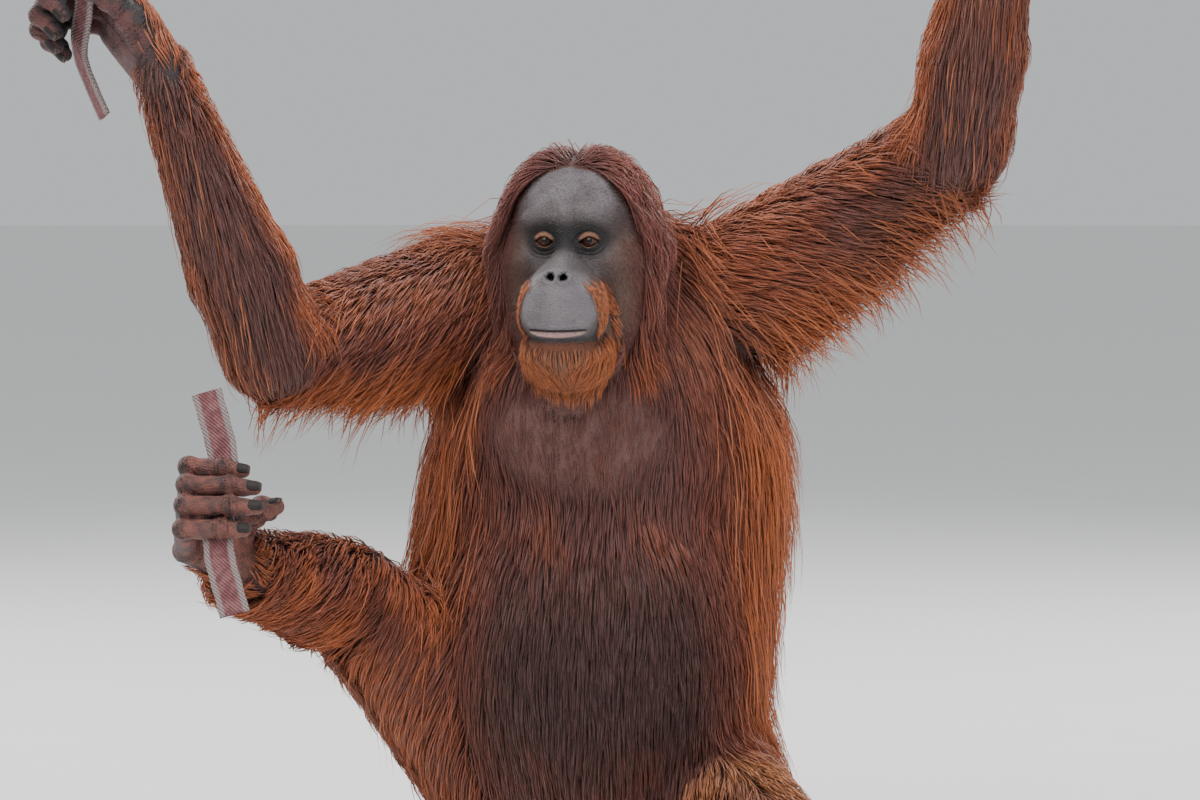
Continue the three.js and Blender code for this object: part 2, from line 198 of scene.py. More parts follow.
def rod(part, a, b, ra, rb, blend=0.02, flat=None):
    """A round-ended rod from a to b. flat = (way, share) thins it along one way."""
    a, b = np.asarray(a, float), np.asarray(b, float)
    ba = b - a
    l2 = ba @ ba

    def distance(x, y, z):
        px, py, pz = x - a[0], y - a[1], z - a[2]
        dot = px * ba[0] + py * ba[1] + pz * ba[2]
        t = np.clip(dot / l2, 0, 1)
        d2 = px * px + py * py + pz * pz - 2 * t * dot + t * t * l2
        if flat is not None:
            n, share = flat
            c = px * n[0] + py * n[1] + pz * n[2] - t * (ba @ n)
            d2 = d2 + c * c * (1 / share**2 - 1)
        return np.sqrt(np.maximum(d2, 0)) - (ra + (rb - ra) * t)

    r = max(ra, rb)
    lumps.append(Lump(part, blend, np.minimum(a, b) - r, np.maximum(a, b) + r, distance))


def egg(part, centre, radii, axes=np.eye(3), blend=0.02):
    """An ellipsoid whose rows of axes carry its three radii."""
    centre, radii, axes = np.asarray(centre, float), np.asarray(radii, float), np.asarray(axes)

    def distance(x, y, z):
        px, py, pz = x - centre[0], y - centre[1], z - centre[2]
        k0 = k1 = 0
        for axis, r in zip(axes, radii):
            c = px * axis[0] + py * axis[1] + pz * axis[2]
            k0 = k0 + (c / r) ** 2
            k1 = k1 + (c / r**2) ** 2
        k0 = np.sqrt(k0)
        return k0 * (k0 - 1) / np.maximum(np.sqrt(k1), 1e-6)

    reach = np.sqrt(((axes * radii[:, None]) ** 2).sum(axis=0))
    lumps.append(Lump(part, blend, centre - reach, centre + reach, distance))


def head_egg(part, centre, radii, blend=0.012):
    egg(part, from_head(centre), radii, HEAD_AXES, blend)


def head_rod(part, a, b, ra, rb, blend=0.01):
    rod(part, from_head(a), from_head(b), ra, rb, blend)


# Height, middle of the ring, and reach to the left, back, right and front, in mm: the trunk of
# the solids, less the depth of the coat there.
TRUNK_ROWS = np.array([
    [0, 0, 25, 112, 92, 112, 84],
    [28, 0, 22, 150, 128, 152, 124],
    [90, 0, 15, 166, 150, 172, 158],
    [170, -2, 10, 168, 160, 182, 180],
    [260, -2, 8, 174, 168, 192, 184],
    [340, 0, 8, 184, 178, 196, 172],
    [400, 0, 8, 192, 184, 190, 160],
    [455, 0, 10, 190, 184, 180, 166],
    [510, 0, 14, 182, 174, 176, 160],
    [570, 0, 20, 172, 158, 168, 140],
    [625, 0, 24, 146, 136, 148, 110],
    [672, -4, 20, 100, 104, 104, 78],
    [706, -8, 8, 62, 74, 64, 56],
], float) * MM
TRUNK_COAT = {"left": 0.030, "back": 0.026, "right": 0.030, "front": 0.020}
TRUNK_TOP = 0.684
CHEST_DIP_AT, CHEST_DIP_WIDE, CHEST_DIP = 0.372, 0.035, 0.014  # below the throat fold


def trunk_distance(x, y, z):
    h = TRUNK_ROWS[:, 0]
    cx, cy, left, back, right, front = (
        np.interp(z, h, TRUNK_ROWS[:, i]) for i in range(1, 7)
    )
    dx, dy = x - cx, y - cy
    rx = np.where(dx > 0, left - TRUNK_COAT["left"], right - TRUNK_COAT["right"])
    dip = CHEST_DIP * np.exp(-(((z - CHEST_DIP_AT) / CHEST_DIP_WIDE) ** 2))
    ry = np.where(dy > 0, back - TRUNK_COAT["back"], front - TRUNK_COAT["front"] - dip)
    k0 = np.sqrt((dx / rx) ** 2 + (dy / ry) ** 2)
    k1 = np.sqrt((dx / rx**2) ** 2 + (dy / ry**2) ** 2)
    wall = k0 * (k0 - 1) / np.maximum(k1, 1e-6)
    return np.maximum(wall, z - TRUNK_TOP)


lumps.append(Lump("trunk", 0.02, V(-0.2, -0.18, -0.01), V(0.2, 0.2, 0.69), trunk_distance))

# The sagging fold of skin under the throat, and the belly
egg("trunk", V(-20, -92, 482) * MM, V(98, 60, 84) * MM, blend=0.010)
egg("trunk", V(-4, -66, 230) * MM, V(140, 98, 150) * MM, blend=0.04)

for side in SIDES:
    j = joint[side]
    arm = f"upper_arm_{side}"
    rod(arm, j["shoulder"], j["elbow"], 0.056, 0.036, 0.045)
    middle = (j["shoulder"] + j["elbow"]) / 2
    rod(arm, j["shoulder"] + V(0, 0, -0.008), middle + V(0, 0, -0.008), 0.054, 0.044, 0.02)
    arm = f"forearm_{side}"
    bulge = j["elbow"] + 0.3 * (j["wrist"] - j["elbow"])
    rod(arm, j["elbow"], bulge, 0.037, 0.0395, 0.015)
    rod(arm, bulge, j["wrist"], 0.0395, 0.0245, 0.012)
    leg = f"thigh_{side}"
    rod(leg, j["hip"], j["knee"], 0.072, 0.046, 0.04)
    leg = f"shank_{side}"
    calf = j["knee"] + 0.33 * (j["ankle"] - j["knee"])
    rod(leg, j["knee"], calf, 0.044, 0.043, 0.015)
    rod(leg, calf, j["ankle"], 0.043, 0.0275, 0.012)

    lie, part = hand[side], f"hand_{side}"
    thin = (lie.s, 0.72)
    rod(part, j["wrist"], lie.at(30, 0, 0), 0.025, 0.029, 0.012, thin)
    for i in range(4):
        spread = 1.5 - i
        knuckle = lie.at(PALM, 0, spread * FINGER_PITCH)
        rod(part, lie.at(20, 0, spread * 10), knuckle, 0.0135, 0.0125, 0.006)
    egg(part, lie.at(56, 2, 0), V(46, 14, 36) * MM, [lie.f, lie.s, lie.across], 0.01)
    rod(part, lie.at(10, 4, 12), lie.at(44, 9, 33), 0.015, 0.0155, 0.012)
    rod(part, lie.at(14, 5, -20), lie.at(84, 5, -32), 0.0135, 0.0105, 0.01)

    lie, part = foot[side], f"foot_{side}"
    egg(part, lie.at(-14, 6, 0), V(30, 27, 25) * MM, [lie.f, lie.s, lie.across], 0.015)
    rod(part, j["ankle"], lie.at(40, 4, 0), 0.027, 0.025, 0.014)
    for i in range(4):
        spread = 1.5 - i
        ball = lie.at(SOLE, 4, spread * TOE_PITCH)
        rod(part, lie.at(14, 5, spread * 9), ball, 0.0145, 0.0115, 0.007)
    egg(part, lie.at(52, 6, 0), V(50, 15, 31) * MM, [lie.f, lie.s, lie.across], 0.01)

for name, places, backs, ways, radii, part in digits:
    for i in range(3):
        a, b = radii[i] * MM, radii[i + 1] * MM
        rod(part, places[i], places[i + 1], a, b, 0.006 if i == 0 else 0.003)
        pad = (places[i] + places[i + 1]) / 2 - backs[i] * 0.0028
        long = np.linalg.norm(places[i + 1] - places[i])
        axes = [ways[i], backs[i], np.cross(ways[i], backs[i])]
        egg(part, pad, V(0.42 * long, a * 0.92, a * 0.94), axes, 0.003)
    for i in (1, 2):  # knuckles
        egg(part, places[i] + backs[i] * 0.001, np.full(3, radii[i] * MM + 0.0013), blend=0.003)

# Head and neck
rod("neck", V(0, 50, 626) * MM, from_head(V(0, 78, -50) * MM), 0.082, 0.058, 0.03)
rod("neck", V(-16, -60, 520) * MM, from_head(V(0, 34, -92) * MM), 0.070, 0.046, 0.03)
head_egg("head", V(0, 80, 16) * MM, V(67, 80, 66) * MM)
head_egg("head", V(0, 84, -36) * MM, V(62, 60, 60) * MM, 0.02)
head_egg("head", V(0, 40, 20) * MM, V(60, 49, 60) * MM, 0.02)  # forehead
for s in (-1, 1):
    head_egg("head", V(s * 36, 33, -30) * MM, V(35, 31, 50) * MM, 0.016)  # cheek
    head_egg("head", V(s * 40, 38, -76) * MM, V(26, 28, 36) * MM, 0.016)
    head_egg("head", V(s * 22, -6, 20) * MM, V(23, 9, 9) * MM, 0.022)  # brow
    head_egg("head", V(s * 27, 4, -22) * MM, V(24, 12, 12) * MM, 0.020)  # below the eye
    head_egg("head", V(s * 70, 62, -4) * MM, V(8, 14, 19) * MM, 0.005)  # ear
head_rod("head", V(0, 0, 12) * MM, V(0, -28, -30) * MM, 0.0085, 0.013, 0.014)  # nose
head_egg("head", V(0, -31, -62) * MM, V(42, 46, 40) * MM, 0.018)  # upper lip
head_egg("head", V(0, -36, -78) * MM, V(40, 40, 22) * MM, 0.014)
head_egg("head", V(0, -28, -107) * MM, V(36, 37, 17) * MM, 0.008)  # lower lip and chin
head_egg("head", V(0, -2, -112) * MM, V(42, 36, 30) * MM, 0.014)
for s in (-1, 1):
    head_egg("head", V(s * 9, -60, -37) * MM, V(9.5, 9, 7.5) * MM, 0.007)  # wing of the nose

EYE_R = 0.0115
EYE_PLACE = V(22.6, -1, -2) * MM
LID_R = 0.0138
SLIT_HALF = 0.0096
NOSTRIL_PLACE = V(6.0, -66, -36.5) * MM
NOSTRIL_RADII = V(4.9, 12, 3.3) * MM
for s in (-1, 1):
    head_egg("head", EYE_PLACE * V(s, 1, 1), np.full(3, LID_R), 0.007)

FLOOR_CLEAR = 0.0015


def opening(p, s):
    """Distance to the almond between the lids: below zero inside it."""
    x, z = s * p[..., 0] - EYE_PLACE[0], p[..., 2] - EYE_PLACE[2]
    wide = np.clip(x / SLIT_HALF, -1, 1)
    top = 0.0052 * (1 - wide**2) + 0.0004 * wide
    low = -0.0055 * (1 - wide**2) + 0.0004 * wide
    inside = np.maximum(z - top, low - z)
    return np.maximum(inside, np.abs(x) - 0.0094)


def hollows(d, p):
    """Cuts the eye slits and the nostrils from the distances d at the head's own points p."""
    for s in (-1, 1):
        slit = np.maximum(opening(p, s), p[..., 1] - 0.001)
        d = np.maximum(d, -slit)
        q = p - NOSTRIL_PLACE * V(s, 1, 1)
        q = q @ unit(np.array([[1, 0, s * 0.35], [0, 1, 0.45], [-s * 0.35, -0.45, 1]])).T
        k0 = np.linalg.norm(q / NOSTRIL_RADII, axis=-1)
        d = np.maximum(d, -(k0 - 1) * 0.0027)
    return d


def blended(a, b, k):
    h = np.maximum(k - np.abs(a - b), 0) / k
    return np.minimum(a, b) - h * h * k / 4


HEAD_BOX = (EYES_AT + V(-0.13, -0.13, -0.17), EYES_AT + V(0.13, 0.2, 0.13))
FAR = 0.06


def near_head(p):
    return ((p > HEAD_BOX[0]) & (p < HEAD_BOX[1])).all(axis=-1)


def skin_distance(p):
    """Distance from each point of an (n, 3) array to the skin, below zero inside."""
    d = np.full(len(p), FAR)
    for lump in lumps:
        margin = FAR * 0.9
        hit = ((p > lump.low - margin) & (p < lump.high + margin)).all(axis=1)
        if hit.any():
            q = p[hit]
            made = lump.distance(q[:, 0], q[:, 1], q[:, 2])
            d[hit] = blended(d[hit], made, lump.blend)
    hit = near_head(p)
    d[hit] = hollows(d[hit], to_head(p[hit]))
    return np.maximum(d, FLOOR_CLEAR - p[:, 2])


VOXEL = 0.0025
GRID_MARGIN = 0.034
LOW = np.min([lump.low for lump in lumps], axis=0) - 0.04
HIGH = np.max([lump.high for lump in lumps], axis=0) + 0.04
LOW[2] = -4 * VOXEL
COUNT = np.ceil((HIGH - LOW) / VOXEL).astype(int) + 1
grid_axes = [LOW[i] + VOXEL * np.arange(COUNT[i]) for i in range(3)]


def fill_grid():
    field = np.full(COUNT, FAR, np.float32)
    for lump in lumps:
        a = np.maximum(((lump.low - GRID_MARGIN - LOW) / VOXEL).astype(int), 0)
        b = np.minimum(((lump.high + GRID_MARGIN - LOW) / VOXEL).astype(int) + 2, COUNT)
        view = field[a[0]:b[0], a[1]:b[1], a[2]:b[2]]
        x = grid_axes[0][a[0]:b[0], None, None].astype(np.float32)
        y = grid_axes[1][None, a[1]:b[1], None].astype(np.float32)
        z = grid_axes[2][None, None, a[2]:b[2]].astype(np.float32)
        made = np.broadcast_to(lump.distance(x, y, z), view.shape)
        view[:] = blended(view, made, lump.blend)
    a = ((HEAD_BOX[0] - LOW) / VOXEL).astype(int)
    b = ((HEAD_BOX[1] - LOW) / VOXEL).astype(int)
    ix = np.meshgrid(*[grid_axes[i][a[i]:b[i]] for i in range(3)], indexing="ij")
    p = np.stack(ix, axis=-1)
    view = field[a[0]:b[0], a[1]:b[1], a[2]:b[2]]
    view[:] = hollows(view, to_head(p))
    return np.maximum(field, (FLOOR_CLEAR - grid_axes[2])[None, None, :].astype(np.float32))


field = fill_grid()


def surface_of(field):
    """One vertex in every grid cell that the surface crosses, one quad for every crossed edge."""
    inside = field < 0
    n = np.array(field.shape) - 1
    count = np.zeros(n, np.int8)
    for dx in (0, 1):
        for dy in (0, 1):
            for dz in (0, 1):
                count += inside[dx:n[0] + dx, dy:n[1] + dy, dz:n[2] + dz]
    cells = np.argwhere((count > 0) & (count < 8))
    index = np.full(n, -1, np.int32)
    index[tuple(cells.T)] = np.arange(len(cells))
    total = np.zeros((len(cells), 3))
    hits = np.zeros(len(cells))
    corners = np.array([[i, j, k] for i in (0, 1) for j in (0, 1) for k in (0, 1)])
    for a in corners:
        for axis in range(3):
            if a[axis]:
                continue
            b = a.copy()
            b[axis] = 1
            va = field[tuple((cells + a).T)]
            vb = field[tuple((cells + b).T)]
            hit = (va < 0) != (vb < 0)
            t = va[hit] / (va[hit] - vb[hit])
            total[hit] += a + t[:, None] * (b - a)
            hits[hit] += 1
    places = LOW + VOXEL * (cells + total / hits[:, None])
    quads = []
    for axis in range(3):
        u, v = [(1, 2), (2, 0), (0, 1)][axis]
        first = inside.take(range(0, n[axis]), axis)
        second = inside.take(range(1, n[axis] + 1), axis)
        for flip, crossing in ((False, first & ~second), (True, ~first & second)):
            e = np.argwhere(crossing)
            ok = (e[:, u] > 0) & (e[:, v] > 0) & (e[:, u] < n[u]) & (e[:, v] < n[v])
            e = e[ok]
            ring = []
            for du, dv in ((0, 0), (-1, 0), (-1, -1), (0, -1)):
                c = e.copy()
                c[:, u] += du
                c[:, v] += dv
                ring.append(index[tuple(c.T)])
            quad = np.stack(ring, axis=1)
            quads.append(quad[:, ::-1] if flip else quad)
    return places, np.concatenate(quads)


def mesh_from(name, places, faces):
    """A mesh object from arrays of points and of equal-sided faces."""
    mesh = bpy.data.meshes.new(name)
    sides = faces.shape[1]
    mesh.vertices.add(len(places))
    mesh.vertices.foreach_set("co", np.asarray(places, np.float32).ravel())
    mesh.loops.add(faces.size)
    mesh.loops.foreach_set("vertex_index", faces.astype(np.int32).ravel())
    mesh.polygons.add(len(faces))
    mesh.polygons.foreach_set("loop_start", np.arange(len(faces), dtype=np.int32) * sides)
    mesh.polygons.foreach_set("use_smooth", np.ones(len(faces), bool))
    mesh.update(calc_edges=True)
    mesh.validate()
    made = bpy.data.objects.new(name, mesh)
    bpy.context.collection.objects.link(made)
    return made


def face_outward(mesh):
    """Turns the faces of a closed mesh outward."""
    b = bmesh.new()
    b.from_mesh(mesh)
    bmesh.ops.recalc_face_normals(b, faces=b.faces)
    b.to_mesh(mesh)
    b.free()


def points_of(mesh):
    flat = np.empty(len(mesh.vertices) * 3, np.float32)
    mesh.vertices.foreach_get("co", flat)
    return flat.reshape(-1, 3).astype(float)


def normals_of(mesh):
    flat = np.empty(len(mesh.vertices) * 3, np.float32)
    mesh.vertex_normals.foreach_get("vector", flat)
    return flat.reshape(-1, 3).astype(float)


def gradient(p, h=0.0006):
    g = np.empty_like(p)
    for i in range(3):
        step = np.zeros(3)
        step[i] = h
        g[:, i] = skin_distance(p + step) - skin_distance(p - step)
    return unit(g)


def settle(p, rounds=2, most=0.0015):
    """Moves points onto the skin's surface."""
    for _ in range(rounds):
        d = skin_distance(p)
        p = p - gradient(p) * np.clip(d, -most, most)[:, None]
    return p


def apply_modifiers(made):
    bpy.context.view_layer.objects.active = made
    dg = bpy.context.evaluated_depsgraph_get()
    mesh = bpy.data.meshes.new_from_object(made.evaluated_get(dg))
    made.modifiers.clear()
    made.data = mesh
    return made


# Parts of the body at a point: share of each part, from the distances to its lumps
PARTS = sorted({lump.part for lump in lumps})


def part_distances(p):
    out = np.full((len(PARTS), len(p)), 0.5)
    for lump in lumps:
        i = PARTS.index(lump.part)
        out[i] = np.minimum(out[i], lump.distance(p[:, 0], p[:, 1], p[:, 2]))
    return out


def smooth(x, a, b):
    t = np.clip((x - a) / (b - a), 0, 1)
    return t * t * (3 - 2 * t)


# The bare face ends where the hood of hair starts: half its width at each height
FACE_EDGE_Z = np.array([-150, -118, -92, -60, -20, 10, 40, 56, 66, 72]) * MM
FACE_EDGE_X = np.array([24, 50, 62, 69, 69, 64, 53, 40, 24, 0]) * MM


def face_depth(q):
    """How far the head's own points q lie inside the bare face, in metres."""
    edge = np.interp(q[:, 2], FACE_EDGE_Z, FACE_EDGE_X)
    return np.minimum(edge - np.abs(q[:, 0]), 0.046 - q[:, 1])


places, quads = surface_of(field)
skin = mesh_from("skin", places, quads)

# Thin out what the coat hides, keep the face, hands and feet
HIDDEN_SHARE = 0.34
p = points_of(skin.data)
shares = part_distances(p)
fine = np.zeros(len(p))
for name in PARTS:
    if name.startswith(("hand", "foot", "head")):
        fine = np.maximum(fine, smooth(-shares[PARTS.index(name)], -0.012, -0.002))
back_of_head = (shares[PARTS.index("head")] < 0.004) & (face_depth(to_head(p)) < -0.012)
fine[back_of_head] = 0
group = skin.vertex_groups.new(name="hidden")
group.add(np.nonzero(fine <= 0)[0].tolist(), 1.0, "REPLACE")
group.add(np.nonzero((fine > 0) & (fine < 0.5))[0].tolist(), 0.5, "REPLACE")
thin = skin.modifiers.new("thin", "DECIMATE")
thin.ratio = HIDDEN_SHARE
thin.vertex_group = "hidden"
apply_modifiers(skin)
skin.vertex_groups.clear()


def refine(made, chosen):
    """Splits the faces whose centres chosen() picks."""
    b = bmesh.new()
    b.from_mesh(made.data)
    centres = np.array([f.calc_center_median() for f in b.faces])
    marked = chosen(centres)
    edges = {e for f, m in zip(b.faces, marked) if m for e in f.edges}
    bmesh.ops.subdivide_edges(b, edges=list(edges), cuts=1, use_grid_fill=True)
    bmesh.ops.triangulate(b, faces=[f for f in b.faces if len(f.verts) > 4])
    b.to_mesh(made.data)
    b.free()


def mouth_line(x):
    return -0.0885 + 0.0012 * (np.abs(x) / 0.03) ** 2


MOUTH_HALF = 0.031


def in_face(p):
    q = to_head(p)
    return near_head(p) & (face_depth(q) > -0.008)


def in_detail(p):
    q = to_head(p)
    front = near_head(p) & (q[:, 1] < 0.012)
    eye = np.hypot(np.abs(q[:, 0]) - EYE_PLACE[0], q[:, 2] - EYE_PLACE[2]) < 0.016
    mouth = (np.abs(q[:, 2] - mouth_line(q[:, 0]) + 0.002) < 0.008) & (np.abs(q[:, 0]) < 0.036)
    nose = (np.abs(q[:, 0]) < 0.016) & (np.abs(q[:, 2] + 0.037) < 0.012)
    return front & (eye | mouth | nose)


refine(skin, in_face)
refine(skin, in_detail)

p = points_of(skin.data)
shares = part_distances(p)
nearest = np.argmin(shares, axis=0)


def share_of(prefix):
    rows = [i for i, name in enumerate(PARTS) if name.startswith(prefix)]
    return shares[rows].min(axis=0)


worked = (share_of(("hand", "foot")) < 0.006) | in_face(p)
p[worked] = settle(p[worked], 3)


def ridge(x, at, width):
    return np.exp(-(((x - at) / width) ** 2))


def face_relief(q):
    """Height of the folds of the face over its plain form, in metres."""
    x, y, z = q.T
    front = smooth(-y, -0.03, -0.01)
    h = np.zeros(len(q))
    line = z - mouth_line(x)
    wide = smooth(MOUTH_HALF + 0.001 - np.abs(x), 0, 0.006)
    full = np.sqrt(np.clip(1 - (x / 0.034) ** 2, 0, 1))
    h -= 0.0042 * ridge(line, 0, 0.0011) * wide
    h += 0.0024 * ridge(line, -0.0045, 0.0030) * wide * full
    h += 0.0016 * ridge(line, 0.0034, 0.0028) * wide
    h -= 0.0012 * ridge(line, -0.0125, 0.0035) * wide
    for s in (-1, 1):
        ex, ez = s * x - EYE_PLACE[0], z - EYE_PLACE[2]
        r = np.hypot(ex / 1.3, ez)
        below = smooth(-ez, 0.001, 0.006) * smooth(0.021 - np.abs(ex), 0, 0.010)
        for at, deep in ((0.0100, 0.0010), (0.0134, 0.0012), (0.0172, 0.0009)):
            h -= deep * ridge(r, at, 0.0008) * below
            h += deep * 0.5 * ridge(r, at + 0.0017, 0.0012) * below
        above = smooth(ez, 0.001, 0.005) * smooth(0.016 - np.abs(ex), 0, 0.008)
        h -= 0.0014 * ridge(r, 0.0102, 0.0010) * above
        rim = np.abs(opening(q, s))
        h += 0.0005 * ridge(rim, 0.0010, 0.0009) * (np.abs(ez) < 0.009) * (np.abs(ex) < 0.012)
        corner = np.hypot(ex + 0.0125, ez + 0.001)
        h -= 0.0012 * ridge(corner, 0, 0.004)
        furrow = s * x - 0.0075 - 0.10 * np.maximum(z - 0.02, 0)
        h -= 0.0008 * ridge(furrow, 0, 0.0016) * smooth(z, 0.012, 0.022) * smooth(0.052 - z, 0, 0.02)
        wing = np.hypot((s * x - 0.0066) / 1.15, z + 0.0360)
        h += 0.0012 * ridge(wing, 0.0062, 0.0018) * (y < -0.03)
    h -= 0.0005 * ridge(x, 0, 0.0016) * smooth(z, 0.016, 0.03) * smooth(0.07 - z, 0, 0.02)
    h -= 0.0008 * ridge(x, 0, 0.0010) * ridge(z, -0.043, 0.006) * (y < -0.03)
    m = np.hypot(x / 0.044, (z + 0.066) / 0.038)
    h -= 0.0016 * ridge(m, 1.02, 0.07) * smooth(z, -0.085, -0.06)
    for at in (0.0, 0.008, 0.016):
        h -= 0.0004 * ridge(z - 0.012 * np.abs(x) / 0.03, 0.052 - at, 0.0012) * smooth(z, 0.02, 0.04)
    return h * front


q = to_head(p)
face = near_head(p) & (shares[PARTS.index("head")] < 0.01) & (face_depth(q) > -0.01)
p[face] += gradient(p[face]) * face_relief(q[face])[:, None]
skin.data.vertices.foreach_set("co", p.astype(np.float32).ravel())
skin.data.update()


# Colours of skin and coat, in linear light
def colour(r, g, b):
    """A colour picked on a screen, as linear light."""
    c = np.array([r, g, b], float) / 255
    return np.where(c < 0.04045, c / 12.92, ((c + 0.055) / 1.055) ** 2.4)


UNDER_COAT = colour(78, 42, 36)
THROAT_SKIN = colour(112, 76, 70)
FACE_GREY = colour(84, 76, 77)
FOREHEAD_GREY = colour(120, 113, 117)
MUZZLE_GREY = colour(115, 110, 114)
# Near black: the dark skin round the eyes, and painted shade in the eye sockets, nostrils and slit of
# the mouth
DARK_SKIN_AND_SHADE = colour(20, 17, 19)
CHEEK_BROWN = colour(114, 90, 80)
LID_TAN = colour(152, 108, 84)
LIP_PINK = colour(184, 148, 143)
LOWER_LIP = colour(66, 62, 66)
CHIN_BROWN = colour(122, 74, 52)
HAND_BLACK = colour(50, 45, 48)
PALM_PINK = colour(108, 63, 60)
FOOT_PINK = colour(142, 86, 74)
FOOT_GREY = colour(74, 56, 56)
PAW_TONES = {  # the back, and the palm or sole
    "hand_right": (HAND_BLACK, PALM_PINK),
    "hand_left": (HAND_BLACK, HAND_BLACK * 1.3),
    "foot_right": (FOOT_GREY, FOOT_PINK),
    "foot_left": (HAND_BLACK * 1.2, PALM_PINK * 0.7),
}


def toward(base, tint, share):
    return base + (tint - base) * np.clip(share, 0, 1)[:, None]


def wobble(p, size, seed=0):
    """A smooth wander between -1 and 1 over points p, about size metres long."""
    turn = np.random.default_rng(seed)
    total = np.zeros(len(p))
    for _ in range(6):
        way = unit(turn.normal(size=3)) / size * (0.6 + turn.random())
        total += np.sin(p @ way * 2 * math.pi + turn.random() * 6.3)
    return total / 2.6


def put(mesh, name, kind, values):
    field_name = {"FLOAT": "value", "FLOAT_VECTOR": "vector", "FLOAT_COLOR": "color"}[kind]
    values = np.asarray(values, np.float32)
    if kind == "FLOAT_COLOR":
        values = np.concatenate([values, np.ones((len(values), 1), np.float32)], axis=1)
    mesh.attributes.new(name, kind, "POINT").data.foreach_set(field_name, values.ravel())


def jaw_ring(x, z):
    """1 on the ring that the beard follows round the muzzle, less inside it, more outside it."""
    return np.hypot(x / 0.043, (z + 0.078) / 0.050)


def throat_fold(p):
    """How far the points p lie on the thinly haired fold under the throat, from 0 to 1."""
    apart = np.hypot((p[:, 0] + 0.020) / 0.114, (p[:, 2] - 0.482) / 0.082)
    return smooth(1.08 - apart, 0, 0.45) * (p[:, 1] < -0.06)


